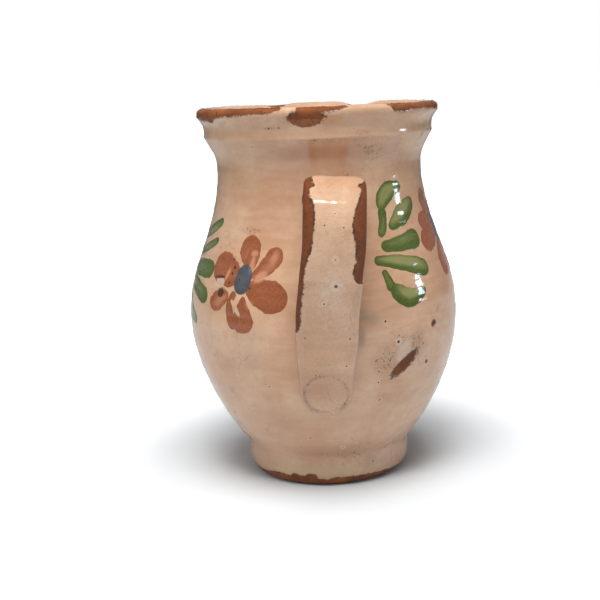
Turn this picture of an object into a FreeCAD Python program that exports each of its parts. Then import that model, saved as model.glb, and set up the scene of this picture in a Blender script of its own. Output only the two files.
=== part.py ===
"""Hand-thrown earthenware pitcher: a clay wall with a pulled lip, a strap handle luted on, glaze coats inside and
outside, and brushed slip flowers and leaves. Millimetres, +Z up, origin at the middle of the foot.
The handle is on -Y and the pouring lip on +Y."""

import math
import os

import FreeCAD
import Part
import PartDesign  # noqa: F401  registers the PartDesign object types
import Sketcher

Vector = FreeCAD.Vector

# ---------------------------------------------------------------- driving dimensions
# Outer face of the clay wall, from the foot's resting edge up to the lip: name, radius, height.
OUTER_STATIONS = [
    ("foot_edge", 37.6, 0.0),
    ("foot_round", 40.8, 1.4),
    ("foot_side", 43.5, 5.4),
    ("foot_waist", 43.9, 11.5),
    ("base_turn", 45.4, 18.0),
    ("base_flare", 49.4, 24.0),
    ("low_belly", 60.3, 42.0),
    ("mid_belly", 68.0, 61.0),
    ("belly", 72.1, 85.0),
    ("high_belly", 69.8, 108.0),
    ("shoulder", 61.8, 132.0),
    ("throat", 56.4, 151.0),
    ("neck", 54.6, 165.0),
    ("flare", 56.1, 176.5),
    ("bead", 60.2, 184.6),
    ("cove", 61.0, 189.0),
    ("under_lip", 61.9, 192.8),
]
# Inner face, from under the lip down to the edge of the flat floor.
INNER_STATIONS = [
    ("inner_lip", 59.0, 195.2),
    ("inner_collar", 57.3, 188.0),
    ("inner_flare", 52.2, 176.5),
    ("inner_neck", 49.6, 165.0),
    ("inner_throat", 51.4, 151.0),
    ("inner_shoulder", 56.8, 132.0),
    ("inner_high", 64.8, 108.0),
    ("inner_belly", 67.1, 85.0),
    ("inner_mid", 62.9, 61.0),
    ("inner_low", 54.8, 42.0),
    ("inner_base", 42.6, 25.0),
    ("inner_turn", 29.0, 13.4),
    ("floor_edge", 17.0, 10.0),
]
# Pulled strap of the handle: name, how far out from the axis, how far up, rise of the pull in degrees, width,
# thickness.
STRAP_STATIONS = [
    ("root", 53.6, 153.4, 22, 31.0, 9.6),
    ("spring", 61.2, 158.9, 34, 30.4, 9.0),
    ("crest", 71.5, 163.2, 6, 30.0, 8.4),
    ("bend", 82.0, 160.2, -38, 30.0, 8.0),
    ("knuckle", 88.8, 151.0, -66, 30.0, 8.0),
    ("back", 91.0, 137.0, -89, 30.0, 8.0),
    ("palm", 88.6, 119.0, -102, 30.0, 8.0),
    ("heel", 83.0, 102.0, -108, 30.0, 7.8),
    ("landing", 77.4, 87.0, -107, 29.6, 7.4),
    ("lap", 73.6, 74.0, -105, 27.4, 6.6),
    ("tail", 68.9, 59.0, -108, 23.0, 5.0),
]
OTHER_SIZES = {
    "lip_middle": 62.1,  # radius of the centre line of the rounded lip
    "lip_height": 197.4,
    "lip_round": 2.6,
    "lip_starts": -40,  # degrees round the lip's section, from straight out
    "lip_ends": 165,
    "glaze": 0.5,
    "glaze_foot": 4.2,  # the coat stops this far above the table
    "glaze_top": 194.6,  # and short of the lip, which is bare
    "inner_glaze_top": 199.2,
    "spout_reach": 12.0,
    "spout_spread": 14.0,  # degrees
    "spout_starts": 170.0,
    "spout_top": 200.0,
    "pinch_depth": 3.0,
    "pinch_angle": 24.0,
    "pinch_spread": 8.0,
    "pinch_dip": 2.4,
    "light_pinch_dip": 0.36,  # the other side of the spout
    "handle_lean": 4.2,  # the strap was set on a little askew
    "handle_foot_out": 68.7,
    "handle_foot_up": 59.0,
    "pad_half_width": 13.2,
    "pad_half_height": 12.4,
    "pad_half_thick": 4.3,
    "dent_half_width": 11.0,
    "dent_half_height": 9.0,
    "dent_half_thick": 3.0,
    "dent_out": 74.3,
    "luting_split": 110.0,  # above is the upper joint, below is the lower one
    "luting_block": 100.0,
    "pad_tilt": 16.0,
    "slip_relief": 0.25,
    "slip_low": 84.0,
    "slip_high": 170.0,
}

# Brushed slip: each stroke starts where the brush lands, bends towards a second point, and ends at a third, with a
# greatest width. The drawings are flat, (across, up) from the motif's own middle, and wrap round the belly.
OPEN_FLOWER = [
    ((4.5, 5.0), (2.5, 12.0), (0.3, 21.2), 16.0),
    ((5.5, 3.5), (12.0, 7.5), (21.5, 15.5), 11.0),
    ((3.0, -3.0), (12.0, -5.0), (25.5, -7.5), 16.0),
    ((1.5, -8.0), (1.5, -16.0), (0.5, -27.0), 13.0),
    ((-4.5, -6.5), (-9.5, -14.0), (-4.0, -24.5), 5.0),
    ((-8.5, -7.0), (-14.0, -11.0), (-21.5, -15.2), 10.5),
    ((-3.0, 1.0), (-12.0, 3.0), (-24.5, 6.0), 16.5),
]
TURNED_FLOWER = [
    ((-3.0, 5.0), (-6.0, 11.0), (-14.0, 20.0), 12.5),
    ((-5.0, 2.0), (-14.0, 6.0), (-24.0, 3.5), 10.0),
    ((-5.0, -1.0), (-15.0, -3.0), (-26.0, -6.0), 11.0),
    ((-2.0, -7.0), (-9.0, -13.0), (-8.0, -25.0), 11.5),
    ((2.0, -7.0), (6.0, -14.0), (8.0, -24.0), 10.5),
    ((4.0, 0.0), (12.0, -1.0), (22.0, -3.0), 13.0),
    ((3.0, 5.0), (8.0, 12.0), (12.0, 20.0), 12.0),
]
CENTRE = [((0.4, 7.1), (0.0, 0.0), (-0.4, -7.3), 10.4)]
TALL_SPRAY = [
    ((-12.5, 6.5), (-8.0, 27.0), (10.0, 29.4), 8.0),
    ((-4.4, 9.5), (4.0, 16.0), (18.6, 21.2), 7.4),
    ((-11.5, -1.2), (3.0, -0.5), (16.8, 1.5), 9.8),
    ((-17.0, -7.3), (-2.0, -8.5), (16.2, -15.2), 9.4),
    ((-13.0, -12.2), (-11.5, -31.0), (9.0, -26.2), 9.2),
]
WIDE_SPRAY = [
    ((-14.0, 14.5), (-2.0, 18.0), (12.4, 23.8), 6.6),
    ((-13.0, 5.5), (0.0, 9.0), (11.8, 14.2), 5.6),
    ((-14.0, -2.5), (0.0, -1.0), (15.4, -1.2), 9.0),
    ((-14.0, -7.5), (-2.0, -11.0), (14.4, -15.2), 8.0),
    ((-12.0, -13.0), (-12.0, -25.0), (4.0, -28.0), 7.8),
]
# name, flower, its angle from the handle and height, leaves, their angle and height
MOTIFS = [
    ("left", OPEN_FLOWER, -36.4, 115.8, WIDE_SPRAY, -70.0, 119.0),
    ("right", TURNED_FLOWER, 79.0, 134.0, TALL_SPRAY, 38.5, 131.0),
    ("front", OPEN_FLOWER, 198.0, 122.0, TALL_SPRAY, 160.0, 124.0),
]

RING_POINTS = 72
RING_ROUNDS = 40  # enough for a ring's control points to settle
WALL_RINGS = (76, 10, 66)  # outside, round the lip, inside
STROKE_STEPS = 9
STROKE_LATE = 1.35  # above 1 the stroke is widest past its middle
STROKE_BLUNT = 0.6  # below 1 its ends are rounder
STROKE_REACH = 1.4  # how far a stroke is pressed out from the axis, in belly radii


def make_sheet(doc):
    """Puts every driving dimension in a spreadsheet, one named cell each."""
    sheet = doc.addObject("Spreadsheet::Sheet", "dims")
    cells = dict(OTHER_SIZES)
    for name, radius, height in OUTER_STATIONS + INNER_STATIONS:
        cells[name + "_radius"] = radius
        cells[name + "_height"] = height
    for name, out, up, rise, width, thickness in STRAP_STATIONS:
        cells["strap_" + name + "_out"] = out
        cells["strap_" + name + "_up"] = up
        cells["strap_" + name + "_rise"] = rise
        cells["strap_" + name + "_wide"] = width
        cells["strap_" + name + "_thick"] = thickness
    for row, (alias, value) in enumerate(cells.items(), start=1):
        sheet.set(f"A{row}", alias)
        sheet.set(f"B{row}", str(value))
        sheet.setAlias(f"B{row}", alias)
    doc.recompute()
    return sheet


def size(sheet, alias):
    """One driving dimension, as a plain number."""
    return float(sheet.get(alias))


# ---------------------------------------------------------------- the thrown wall
def wall_profile(sheet):
    """Half section of the wall: outside curve, rounded lip, inside curve, as evenly spaced (radius, height)."""

    def station_points(stations):
        return [Vector(size(sheet, n + "_radius"), 0, size(sheet, n + "_height")) for n, _, _ in stations]

    def on_lip(degrees):
        turn = math.radians(degrees)
        spot = Vector(math.cos(turn), 0, math.sin(turn)) * size(sheet, "lip_round")
        return spot + Vector(size(sheet, "lip_middle"), 0, size(sheet, "lip_height"))

    first, last = size(sheet, "lip_starts"), size(sheet, "lip_ends")
    outside = Part.BSplineCurve()
    outside.interpolate(station_points(OUTER_STATIONS) + [on_lip(first)])
    lip = Part.Arc(on_lip(first), on_lip((first + last) / 2), on_lip(last))
    inside = Part.BSplineCurve()
    inside.interpolate([on_lip(last)] + station_points(INNER_STATIONS))
    profile = []
    for curve, count in zip((outside, lip, inside), WALL_RINGS):
        points = curve.toShape().discretize(Number=count)
        profile += [(p.x, p.z) for p in points[1 if profile else 0 :]]
    return profile


def offset_profile(profile, distance):
    """The same half section moved off the wall along its normals, which point out of the clay."""
    moved = []
    for i, (radius, height) in enumerate(profile):
        before, after = profile[max(i - 1, 0)], profile[min(i + 1, len(profile) - 1)]
        along = Vector(after[0] - before[0], 0, after[1] - before[1]).normalize()
        moved.append((radius + along.z * distance, height - along.x * distance))
    return moved


def lip_shift(sheet, angle, height):
    """How far the pulled lip moves a point of the wall, (outwards, up), at an angle from the spout's middle."""
    start, top = size(sheet, "spout_starts"), size(sheet, "spout_top")
    share = min(max((height - start) / (top - start), 0.0), 1.0) ** 2
    turned = (angle + 180) % 360 - 180
    pull = size(sheet, "spout_reach") * math.exp(-((turned / size(sheet, "spout_spread")) ** 2))
    pinch = math.exp(-(((abs(turned) - size(sheet, "pinch_angle")) / size(sheet, "pinch_spread")) ** 2))
    # One finger pressed the lip down harder than the other.
    dip = size(sheet, "pinch_dip" if turned < 0 else "light_pinch_dip")
    return share * (pull - pinch * size(sheet, "pinch_depth")), -share * pinch * dip


def ring_surface(sheet, profile):
    """A closed smooth surface through one ring of points for each point of a half section."""
    rows = []
    for radius, height in profile:
        row = []
        for i in range(RING_POINTS):
            angle = 360.0 * i / RING_POINTS - 90.0
            outwards, up = lip_shift(sheet, angle - 90.0, height)
            turn = math.radians(angle)
            reach = radius + outwards
            row.append(Vector(reach * math.cos(turn), reach * math.sin(turn), height + up))
        rows.append(row)
    return surface_through(rows)


def surface_through(rows):
    """A surface through rows of points, each row a closed ring: smooth all the way round, with no seam to see."""
    columns = list(zip(*rows))
    steps = [0.0]
    for low, high in zip(columns[0], columns[0][1:]):
        steps.append(steps[-1] + low.distanceToPoint(high))
    lengthways = []
    for column in columns:
        curve = Part.BSplineCurve()
        curve.interpolate(Points=list(column), Parameters=steps)
        lengthways.append(curve)
    poles = [through_ring(list(ring)) for ring in zip(*(curve.getPoles() for curve in lengthways))]
    surface = Part.BSplineSurface()
    surface.buildFromPolesMultsKnots(
        poles,
        lengthways[0].getMultiplicities(),
        [1] * (len(columns) + 1),
        lengthways[0].getKnots(),
        list(range(len(columns) + 1)),
        False,
        True,
        3,
        3,
    )
    return surface.toShape()


def through_ring(points):
    """Control points of the closed cubic curve that passes through evenly spaced points of a ring."""
    poles = points
    for _ in range(RING_ROUNDS):
        poles = [(point * 6 - poles[i - 1] - poles[(i + 1) % len(poles)]) / 4 for i, point in enumerate(points)]
    return poles


def ring_edges(face):
    """The two closed end rings of such a surface, the lower end's first."""
    rings = [e for e in face.Edges if len(e.Vertexes) == 1]
    return sorted(rings, key=lambda e: e.BoundBox.ZMin)


def solid_of(faces):
    """One closed solid sewn from faces that meet edge to edge."""
    shell = Part.Shell(faces)
    shell.sewShape()
    solid = Part.Solid(shell)
    if solid.Volume < 0:
        solid.reverse()
    return solid


def disc(ring):
    """The flat face inside a level ring."""
    return Part.Face(Part.Wire([ring]))


def skin_between(sheet, low_profile, high_profile, floor=False):
    """A thin coat between two surfaces. Its free edges are closed by narrow strips, and its floor by two discs."""
    near, far = ring_surface(sheet, low_profile), ring_surface(sheet, high_profile)
    near_rings, far_rings = ring_edges(near), ring_edges(far)
    faces = [near, far, Part.makeRuledSurface(near_rings[1], far_rings[1])]
    if floor:
        faces += [disc(near_rings[0]), disc(far_rings[0])]
    else:
        faces.append(Part.makeRuledSurface(near_rings[0], far_rings[0]))
    return solid_of(faces)


def shape_object(doc, name, shape):
    """A document object that holds a shape made from the sheet's sizes."""
    thing = doc.addObject("Part::Feature", name)
    thing.Shape = shape
    return thing


def make_clay_body(doc, sheet, profile):
    """The thrown wall with its solid base, flat underneath."""
    side = ring_surface(sheet, profile)
    return shape_object(doc, "clay_body", solid_of([side] + [disc(r) for r in ring_edges(side)]))


# ---------------------------------------------------------------- the handle
def strap_section(body, plane, name, grown):
    """One section of the strap: a slot with round ends, across the pull. grown adds the glaze all round."""
    sketch = body.newObject("Sketcher::SketchObject", body.Name + "_" + name)
    sketch.AttachmentSupport = [(plane, "")]
    sketch.MapMode = "FlatFace"
    half, round_end = 10.0, 4.0  # a first drawing; the cells below set the real size
    up = Vector(0, 0, 1)
    sketch.addGeometry(
        [
            Part.LineSegment(Vector(-half, round_end, 0), Vector(half, round_end, 0)),
            Part.ArcOfCircle(Part.Circle(Vector(half, 0, 0), up, round_end), -math.pi / 2, math.pi / 2),
            Part.LineSegment(Vector(half, -round_end, 0), Vector(-half, -round_end, 0)),
            Part.ArcOfCircle(Part.Circle(Vector(-half, 0, 0), up, round_end), math.pi / 2, 3 * math.pi / 2),
        ],
        False,
    )
    rule = Sketcher.Constraint
    sketch.addConstraint(
        [
            rule("Tangent", 0, 2, 1, 2),
            rule("Tangent", 1, 1, 2, 1),
            rule("Tangent", 2, 2, 3, 2),
            rule("Tangent", 3, 1, 0, 1),
            rule("Equal", 1, 3),
            rule("Horizontal", 0),
            rule("Symmetric", 1, 3, 3, 3, -1, 1),
        ]
    )
    cell = "dims.strap_" + name
    radius = sketch.addConstraint(rule("Radius", 1, round_end))
    sketch.setExpression(f"Constraints[{radius}]", f"{cell}_thick / 2{' + dims.glaze' if grown else ''}")
    span = sketch.addConstraint(rule("DistanceX", 3, 3, 1, 3, 2 * half))
    sketch.setExpression(f"Constraints[{span}]", f"{cell}_wide - {cell}_thick")
    sketch.AttachmentOffset = FreeCAD.Placement(Vector(0, 0, 0), FreeCAD.Rotation(Vector(-1, 0, 0), 30))
    sketch.setExpression("AttachmentOffset.Base.y", cell + "_up")
    sketch.setExpression("AttachmentOffset.Base.z", cell + "_out")
    sketch.setExpression("AttachmentOffset.Rotation.Angle", cell + "_rise")
    return sketch


def ellipsoid(body, kind, name, plane, out, half_sizes):
    """A lens-shaped pad or dent at the handle's lower end, tilted to lie along the belly."""
    lens = body.newObject(kind, name)
    lens.AttachmentSupport = [(plane, "")]
    lens.MapMode = "FlatFace"
    # The radii are the thickness across the wall, then the width and the height.
    for prop, expression in zip(("Radius1", "Radius2", "Radius3"), half_sizes):
        lens.setExpression(prop, expression)
    lens.Angle1, lens.Angle2, lens.Angle3 = -90, 90, 360
    lens.AttachmentOffset = FreeCAD.Placement(Vector(0, 0, 0), FreeCAD.Rotation(Vector(1, 0, 0), 30))
    lens.setExpression("AttachmentOffset.Base.y", "dims.handle_foot_up")
    lens.setExpression("AttachmentOffset.Base.z", out)
    lens.setExpression("AttachmentOffset.Rotation.Angle", "dims.pad_tilt")
    return lens


def make_strap(doc, sheet, name, grown):
    """The pulled strap with its thumbed lower end, before the wall is taken out of it."""
    body = doc.addObject("PartDesign::Body", name)
    plane = [f for f in body.Origin.OriginFeatures if f.Role == "XZ_Plane"][0]
    sections = [strap_section(body, plane, station[0], grown) for station in STRAP_STATIONS]
    doc.recompute()
    pull = body.newObject("PartDesign::AdditiveLoft", name + "_pull")
    pull.Profile = sections[0]
    pull.Sections = sections[1:]
    doc.recompute()
    extra = " + dims.glaze" if grown else ""
    less = " - dims.glaze" if grown else ""
    pad = [f"dims.pad_half_{way}{extra}" for way in ("thick", "width", "height")]
    ellipsoid(body, "PartDesign::AdditiveEllipsoid", name + "_pad", plane, "dims.handle_foot_out", pad)
    doc.recompute()
    dent = [f"dims.dent_half_{way}{less}" for way in ("thick", "width", "height")]
    ellipsoid(body, "PartDesign::SubtractiveEllipsoid", name + "_dent", plane, "dims.dent_out" + extra, dent)
    doc.recompute()
    lean = FreeCAD.Rotation(Vector(0, 1, 0), size(sheet, "handle_lean"))
    body.Placement = FreeCAD.Placement(Vector(0, 0, 0), lean, Vector(0, 0, size(sheet, "handle_foot_up")))
    doc.recompute()
    return body


# ---------------------------------------------------------------- brushed slip
def stroke_outline(start, bend, end, width):
    """A brush stroke as a closed curve: narrow where the brush lands, widest past the middle, round at the end."""
    first, middle, last = (Vector(x, y, 0) for x, y in (start, bend, end))
    left, right = [], []
    for i in range(1, STROKE_STEPS):
        share = i / STROKE_STEPS
        spot = first * (1 - share) ** 2 + middle * (2 * share * (1 - share)) + last * share**2
        along = ((middle - first) * (1 - share) + (last - middle) * share).normalize()
        across = Vector(-along.y, along.x, 0)
        half = width / 2 * math.sin(math.pi * share**STROKE_LATE) ** STROKE_BLUNT
        left.append(spot + across * half)
        right.append(spot - across * half)
    curve = Part.BSplineCurve()
    curve.interpolate([first] + left + [last] + right[::-1], PeriodicFlag=True)
    return Part.Wire(curve.toShape())


def revolved_band(under, over):
    """A thin band all round the belly between two half sections."""
    sides = []
    for points in (under, over):
        curve = Part.BSplineCurve()
        curve.interpolate([Vector(radius, 0, height) for radius, height in points])
        sides.append(curve)
    edges = [side.toShape() for side in sides]
    edges.append(Part.makeLine(sides[0].StartPoint, sides[1].StartPoint))
    edges.append(Part.makeLine(sides[0].EndPoint, sides[1].EndPoint))
    section = Part.Face(Part.Wire(Part.__sortEdges__(edges)))
    return section.revolve(Vector(0, 0, 0), Vector(0, 0, 1), 360)


def stroke_solids(strokes, angle, height, reach, band):
    """The strokes of one motif, pressed through the thin band that lies on the glazed belly."""
    solids = []
    frame = FreeCAD.Placement(
        Vector(0, 0, height),
        FreeCAD.Rotation(Vector(0, 0, 1), angle) * FreeCAD.Rotation(Vector(1, 0, 0), 90),
    )
    for stroke in strokes:
        face = Part.Face(stroke_outline(*stroke))
        prism = face.extrude(Vector(0, 0, reach))
        prism.Placement = frame
        solids += prism.common(band).Solids
    return solids


def make_strokes(doc, sheet, profile):
    """Petals, flower centres and leaves of every motif, one object for each colour of each motif."""
    low, high = size(sheet, "slip_low"), size(sheet, "slip_high")
    count_out = outer_count(profile)
    belly = [p for p in profile[:count_out] if low <= p[1] <= high]
    under = offset_profile(belly, size(sheet, "glaze"))
    over = offset_profile(belly, size(sheet, "glaze") + size(sheet, "slip_relief"))
    band = revolved_band(under, over)
    reach = size(sheet, "belly_radius") * STROKE_REACH
    made = []
    for name, flower, flower_angle, flower_height, spray, spray_angle, spray_height in MOTIFS:
        petals = stroke_solids(flower, flower_angle, flower_height, reach, band)
        middle = Part.makeCompound(stroke_solids(CENTRE, flower_angle, flower_height, reach, band))
        petals = [solid for petal in petals for solid in petal.cut(middle).Solids]
        leaves = stroke_solids(spray, spray_angle, spray_height, reach, band)
        made.append(shape_object(doc, name + "_flower_petals", Part.makeCompound(apart(petals))))
        made.append(shape_object(doc, name + "_flower_centre", middle))
        made.append(shape_object(doc, name + "_leaf_spray", Part.makeCompound(apart(leaves))))
    return made


def apart(solids):
    """The same strokes, each without what an earlier stroke already covers."""
    kept = []
    for solid in solids:
        for other in kept:
            solid = solid.cut(other)
        kept += solid.Solids
    return kept


# ---------------------------------------------------------------- glaze
def outer_count(profile):
    """How many points of the half section lie outside, up to the lip's outermost point."""
    rim = max(p[1] for p in profile)
    crest = [p[1] for p in profile].index(rim)
    return crest + 1


def boolean(doc, kind, name, base, tool):
    """A Part::Cut or Part::Common of two document objects."""
    result = doc.addObject("Part::" + kind, name)
    result.Base, result.Tool = base, tool
    return result


def joint_block(doc, name, base_height):
    """A block that takes in one end of the handle, to part its luting slip from the other end's."""
    block = doc.addObject("Part::Box", name)
    for prop in ("Length", "Width", "Height"):
        block.setExpression(prop, "dims.luting_block")
    block.setExpression("Placement.Base.x", "-dims.luting_block / 2")
    block.setExpression("Placement.Base.y", "-dims.luting_block")
    block.setExpression("Placement.Base.z", base_height)
    return block


def make_coats(doc, sheet, profile, body, strap, coat_blank):
    """The glaze coats, the luting slip under the handle's ends, and the handle itself."""
    count_out = outer_count(profile)
    glaze = size(sheet, "glaze")
    outer = [p for p in profile[:count_out] if size(sheet, "glaze_foot") <= p[1] <= size(sheet, "glaze_top")]
    inner = [p for p in profile[count_out:] if p[1] <= size(sheet, "inner_glaze_top")]
    skin = shape_object(doc, "outer_skin", skin_between(sheet, outer, offset_profile(outer, glaze)))
    lining = skin_between(sheet, inner, offset_profile(inner, glaze), floor=True)

    outside_strap = boolean(doc, "Cut", "strap_outside", strap, body)
    sleeve = boolean(doc, "Cut", "coat_sleeve", coat_blank, strap)
    outside_sleeve = boolean(doc, "Cut", "coat_outside", sleeve, body)
    luting = boolean(doc, "Common", "luting", skin, strap)
    lower = joint_block(doc, "lower_block", "dims.luting_split - dims.luting_block")
    upper = joint_block(doc, "upper_block", "dims.luting_split")
    return [
        boolean(doc, "Cut", "outer_glaze", skin, strap),
        shape_object(doc, "inner_glaze", lining),
        boolean(doc, "Cut", "clay_handle", outside_strap, skin),
        boolean(doc, "Cut", "handle_glaze", outside_sleeve, skin),
        boolean(doc, "Common", "lower_luting_slip", luting, lower),
        boolean(doc, "Common", "upper_luting_slip", luting, upper),
    ]


def check_document(doc):
    """Stops if FreeCAD left any object failed."""
    for thing in doc.Objects:
        if "Invalid" in thing.State or "Error" in thing.State:
            raise RuntimeError(f"{thing.Name} failed: {thing.State}")


def export(parts):
    """Writes each sub-part to its own file."""
    os.makedirs("parts", exist_ok=True)
    for part in parts:
        shape = part.Shape
        if shape.isNull() or not shape.isValid() or shape.Volume <= 0:
            raise RuntimeError(f"{part.Name} has no sound shape")
        part.Label = part.Name
        shape.exportStep(f"parts/{part.Label}.step")
        print(f"{part.Label}: {len(shape.Solids)} solids, {shape.Volume:.0f} mm3")


def main():
    """Makes the document, checks it and writes its sub-parts."""
    doc = FreeCAD.newDocument("pitcher")
    sheet = make_sheet(doc)
    profile = wall_profile(sheet)
    body = make_clay_body(doc, sheet, profile)
    strap = make_strap(doc, sheet, "strap", grown=False)
    coat_blank = make_strap(doc, sheet, "strap_coat", grown=True)
    doc.recompute()
    coats = make_coats(doc, sheet, profile, body, strap, coat_blank)
    strokes = make_strokes(doc, sheet, profile)
    doc.recompute()
    check_document(doc)
    export([body] + coats + strokes)


main()
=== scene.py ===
"""Looks for the hand-thrown earthenware pitcher: clay, worn cream glaze, brushed slip flowers, handle and studio.

Lengths are millimetres, +Z up, with the handle on -Y and the pouring lip on +Y. Angles round the pot, called
azimuth, start at the handle and grow towards +X.
"""

import logging
import math
from dataclasses import dataclass, field
from enum import Enum
from typing import Callable, Iterable, Optional, Union

import bmesh
import bpy
import numpy as np
from mathutils import Matrix


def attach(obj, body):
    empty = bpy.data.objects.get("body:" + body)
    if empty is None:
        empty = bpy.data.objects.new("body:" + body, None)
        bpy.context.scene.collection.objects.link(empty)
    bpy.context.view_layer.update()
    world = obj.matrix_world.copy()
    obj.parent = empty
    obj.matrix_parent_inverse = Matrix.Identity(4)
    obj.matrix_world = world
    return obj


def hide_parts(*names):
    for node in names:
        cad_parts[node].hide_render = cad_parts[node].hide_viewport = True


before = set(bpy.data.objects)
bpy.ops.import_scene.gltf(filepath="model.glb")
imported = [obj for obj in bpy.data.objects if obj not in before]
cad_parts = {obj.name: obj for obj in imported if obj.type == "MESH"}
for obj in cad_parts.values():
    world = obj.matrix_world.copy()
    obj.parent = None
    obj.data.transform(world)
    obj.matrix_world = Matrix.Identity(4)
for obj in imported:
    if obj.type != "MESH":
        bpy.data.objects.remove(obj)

MM = 0.001
LOG = logging.getLogger("pitcher")
Points = np.ndarray
Socket = bpy.types.NodeSocket
Wired = Union[Socket, float]
Colour = tuple[float, float, float, float]
WELD = 2e-7  # metres: points nearer than this are one
FINE_STEPS = 1200  # steps along a curve before it is spaced evenly
DEEPEST = 6.0  # millimetres: how far into or out of a bare patch is told apart


class Slot(Enum):
    """The record's material slots."""

    TERRACOTTA = "terracotta"
    CREAM = "cream_glaze"
    LUTING = "luting_slip"
    RUST = "rust_slip"
    BLUE = "blue_slip"
    GREEN = "green_slip"


# ------------------------------------------------------------------------------------------------ curves and grids
def smooth_through(knots: Points, values: Points, at: Points) -> Points:
    """Natural cubic curve through values at knots: piecewise cubics whose first and second slopes agree where they
    meet, with no bend at the two ends.

    Args:
        knots: Increasing places along the curve, one for each row of values.
        values: What the curve passes through, one row for each knot.
        at: Places along the curve to work out.

    Returns:
        One row for each place in at.
    """
    steps = np.diff(knots)
    count = len(knots)
    inner = np.arange(1, count - 1)
    matrix = np.eye(count)
    matrix[inner, inner - 1] = steps[:-1]
    matrix[inner, inner] = 2 * (steps[:-1] + steps[1:])
    matrix[inner, inner + 1] = steps[1:]
    slopes = np.diff(values, axis=0) / steps[:, None]
    right = np.zeros_like(values, dtype=float)
    right[1:-1] = 6 * np.diff(slopes, axis=0)
    bend = np.linalg.solve(matrix, right)
    i = np.clip(np.searchsorted(knots, at) - 1, 0, count - 2)
    step = steps[i][:, None]
    low = (knots[i + 1] - at)[:, None] / step
    high = 1 - low
    curved = ((low**3 - low) * bend[i] + (high**3 - high) * bend[i + 1]) * step**2 / 6
    return low * values[i] + high * values[i + 1] + curved


def run_along(points: Points) -> Points:
    """Length run from the first point to each point, along the straight lines between them."""
    return np.concatenate([[0.0], np.cumsum(np.hypot(*np.diff(points[:, :2], axis=0).T))])


def directions(points: Points) -> Points:
    """Unit directions along a curve through points in a plane: their differences, each divided by its length."""
    along = np.gradient(points[:, :2], axis=0)
    return along / np.maximum(np.hypot(along[:, 0], along[:, 1]), 1e-9)[:, None]


def bell(value: Points, middle: float, spread: float) -> Points:
    """Bell curve, e to the minus square: 1 at the middle, and 1/e one spread away from it."""
    return np.exp(-(((value - middle) / spread) ** 2))


def eased(value: Points) -> Points:
    """Smooth step: 0 below 0, 1 above 1, and 3v squared less 2v cubed between."""
    share = np.clip(value, 0, 1)
    return share * share * (3 - 2 * share)


def even_curve(stations: Points, count: int) -> Points:
    """Evenly spaced points on the smooth curve through stations, whose parameter is the length of the chords.

    Args:
        stations: Rows whose first two columns are a place in a plane. Further columns are carried along.
        count: How many points to give.

    Returns:
        count rows with the same columns.
    """
    knots = run_along(stations)
    fine = smooth_through(knots, stations, np.linspace(0, knots[-1], FINE_STEPS))
    run = run_along(fine)
    spots = np.linspace(0, run[-1], count)
    return np.stack([np.interp(spots, run, column) for column in fine.T], axis=1)


def ripple(azimuth: Points, along: Points, seed: float) -> Points:
    """Uneven wobble between about -1 and 1: sines of both arguments whose whole-number waves close round the pot.

    Args:
        azimuth: Angles round the pot, in degrees.
        along: The other coordinate, in millimetres.
        seed: Shifts the waves, so that each use differs.

    Returns:
        The wobble, in the arguments' shape.
    """
    turn = np.radians(azimuth)
    total = 0.0
    for waves, pace, share in ((7, 0.11, 0.3), (17, 0.23, 0.25), (38, 0.41, 0.2), (83, 0.73, 0.15), (171, 1.3, 0.1)):
        total = total + share * np.sin(waves * turn + pace * along + seed * waves)
    return total


@dataclass
class Grid:
    """A grid of points that becomes one mesh. Rows run along the piece and columns go round it."""

    points: Points
    close_rows: bool = False
    close_columns: bool = True
    values: dict[str, Points] = field(default_factory=dict)
    uv: Optional[Points] = None

    def faces(self) -> Points:
        """Four vertex numbers for each face: every corner of a cell, with the closing cells wrapped round.

        Returns:
            An array of shape (faces, 4).
        """
        rows, columns = self.points.shape[:2]
        down = np.arange(rows if self.close_rows else rows - 1)
        across = np.arange(columns if self.close_columns else columns - 1)
        i, j = np.meshgrid(down, across, indexing="ij")
        below, beside = (i + 1) % rows, (j + 1) % columns
        corners = [i * columns + j, i * columns + beside, below * columns + beside, below * columns + j]
        return np.stack([c.ravel() for c in corners], axis=1)

    def volume_sign(self, faces: Points) -> float:
        """Positive if the faces point outwards: the sum of the cells' cones to the middle of the grid.

        Args:
            faces: Four vertex numbers for each face.

        Returns:
            The signed sum.
        """
        spots = self.points.reshape(-1, 3) - self.points.reshape(-1, 3).mean(axis=0)
        a, b, c, d = (spots[faces[:, k]] for k in range(4))
        return float(np.sum(np.cross(a - c, b - d) * (a + b + c + d)))


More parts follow.
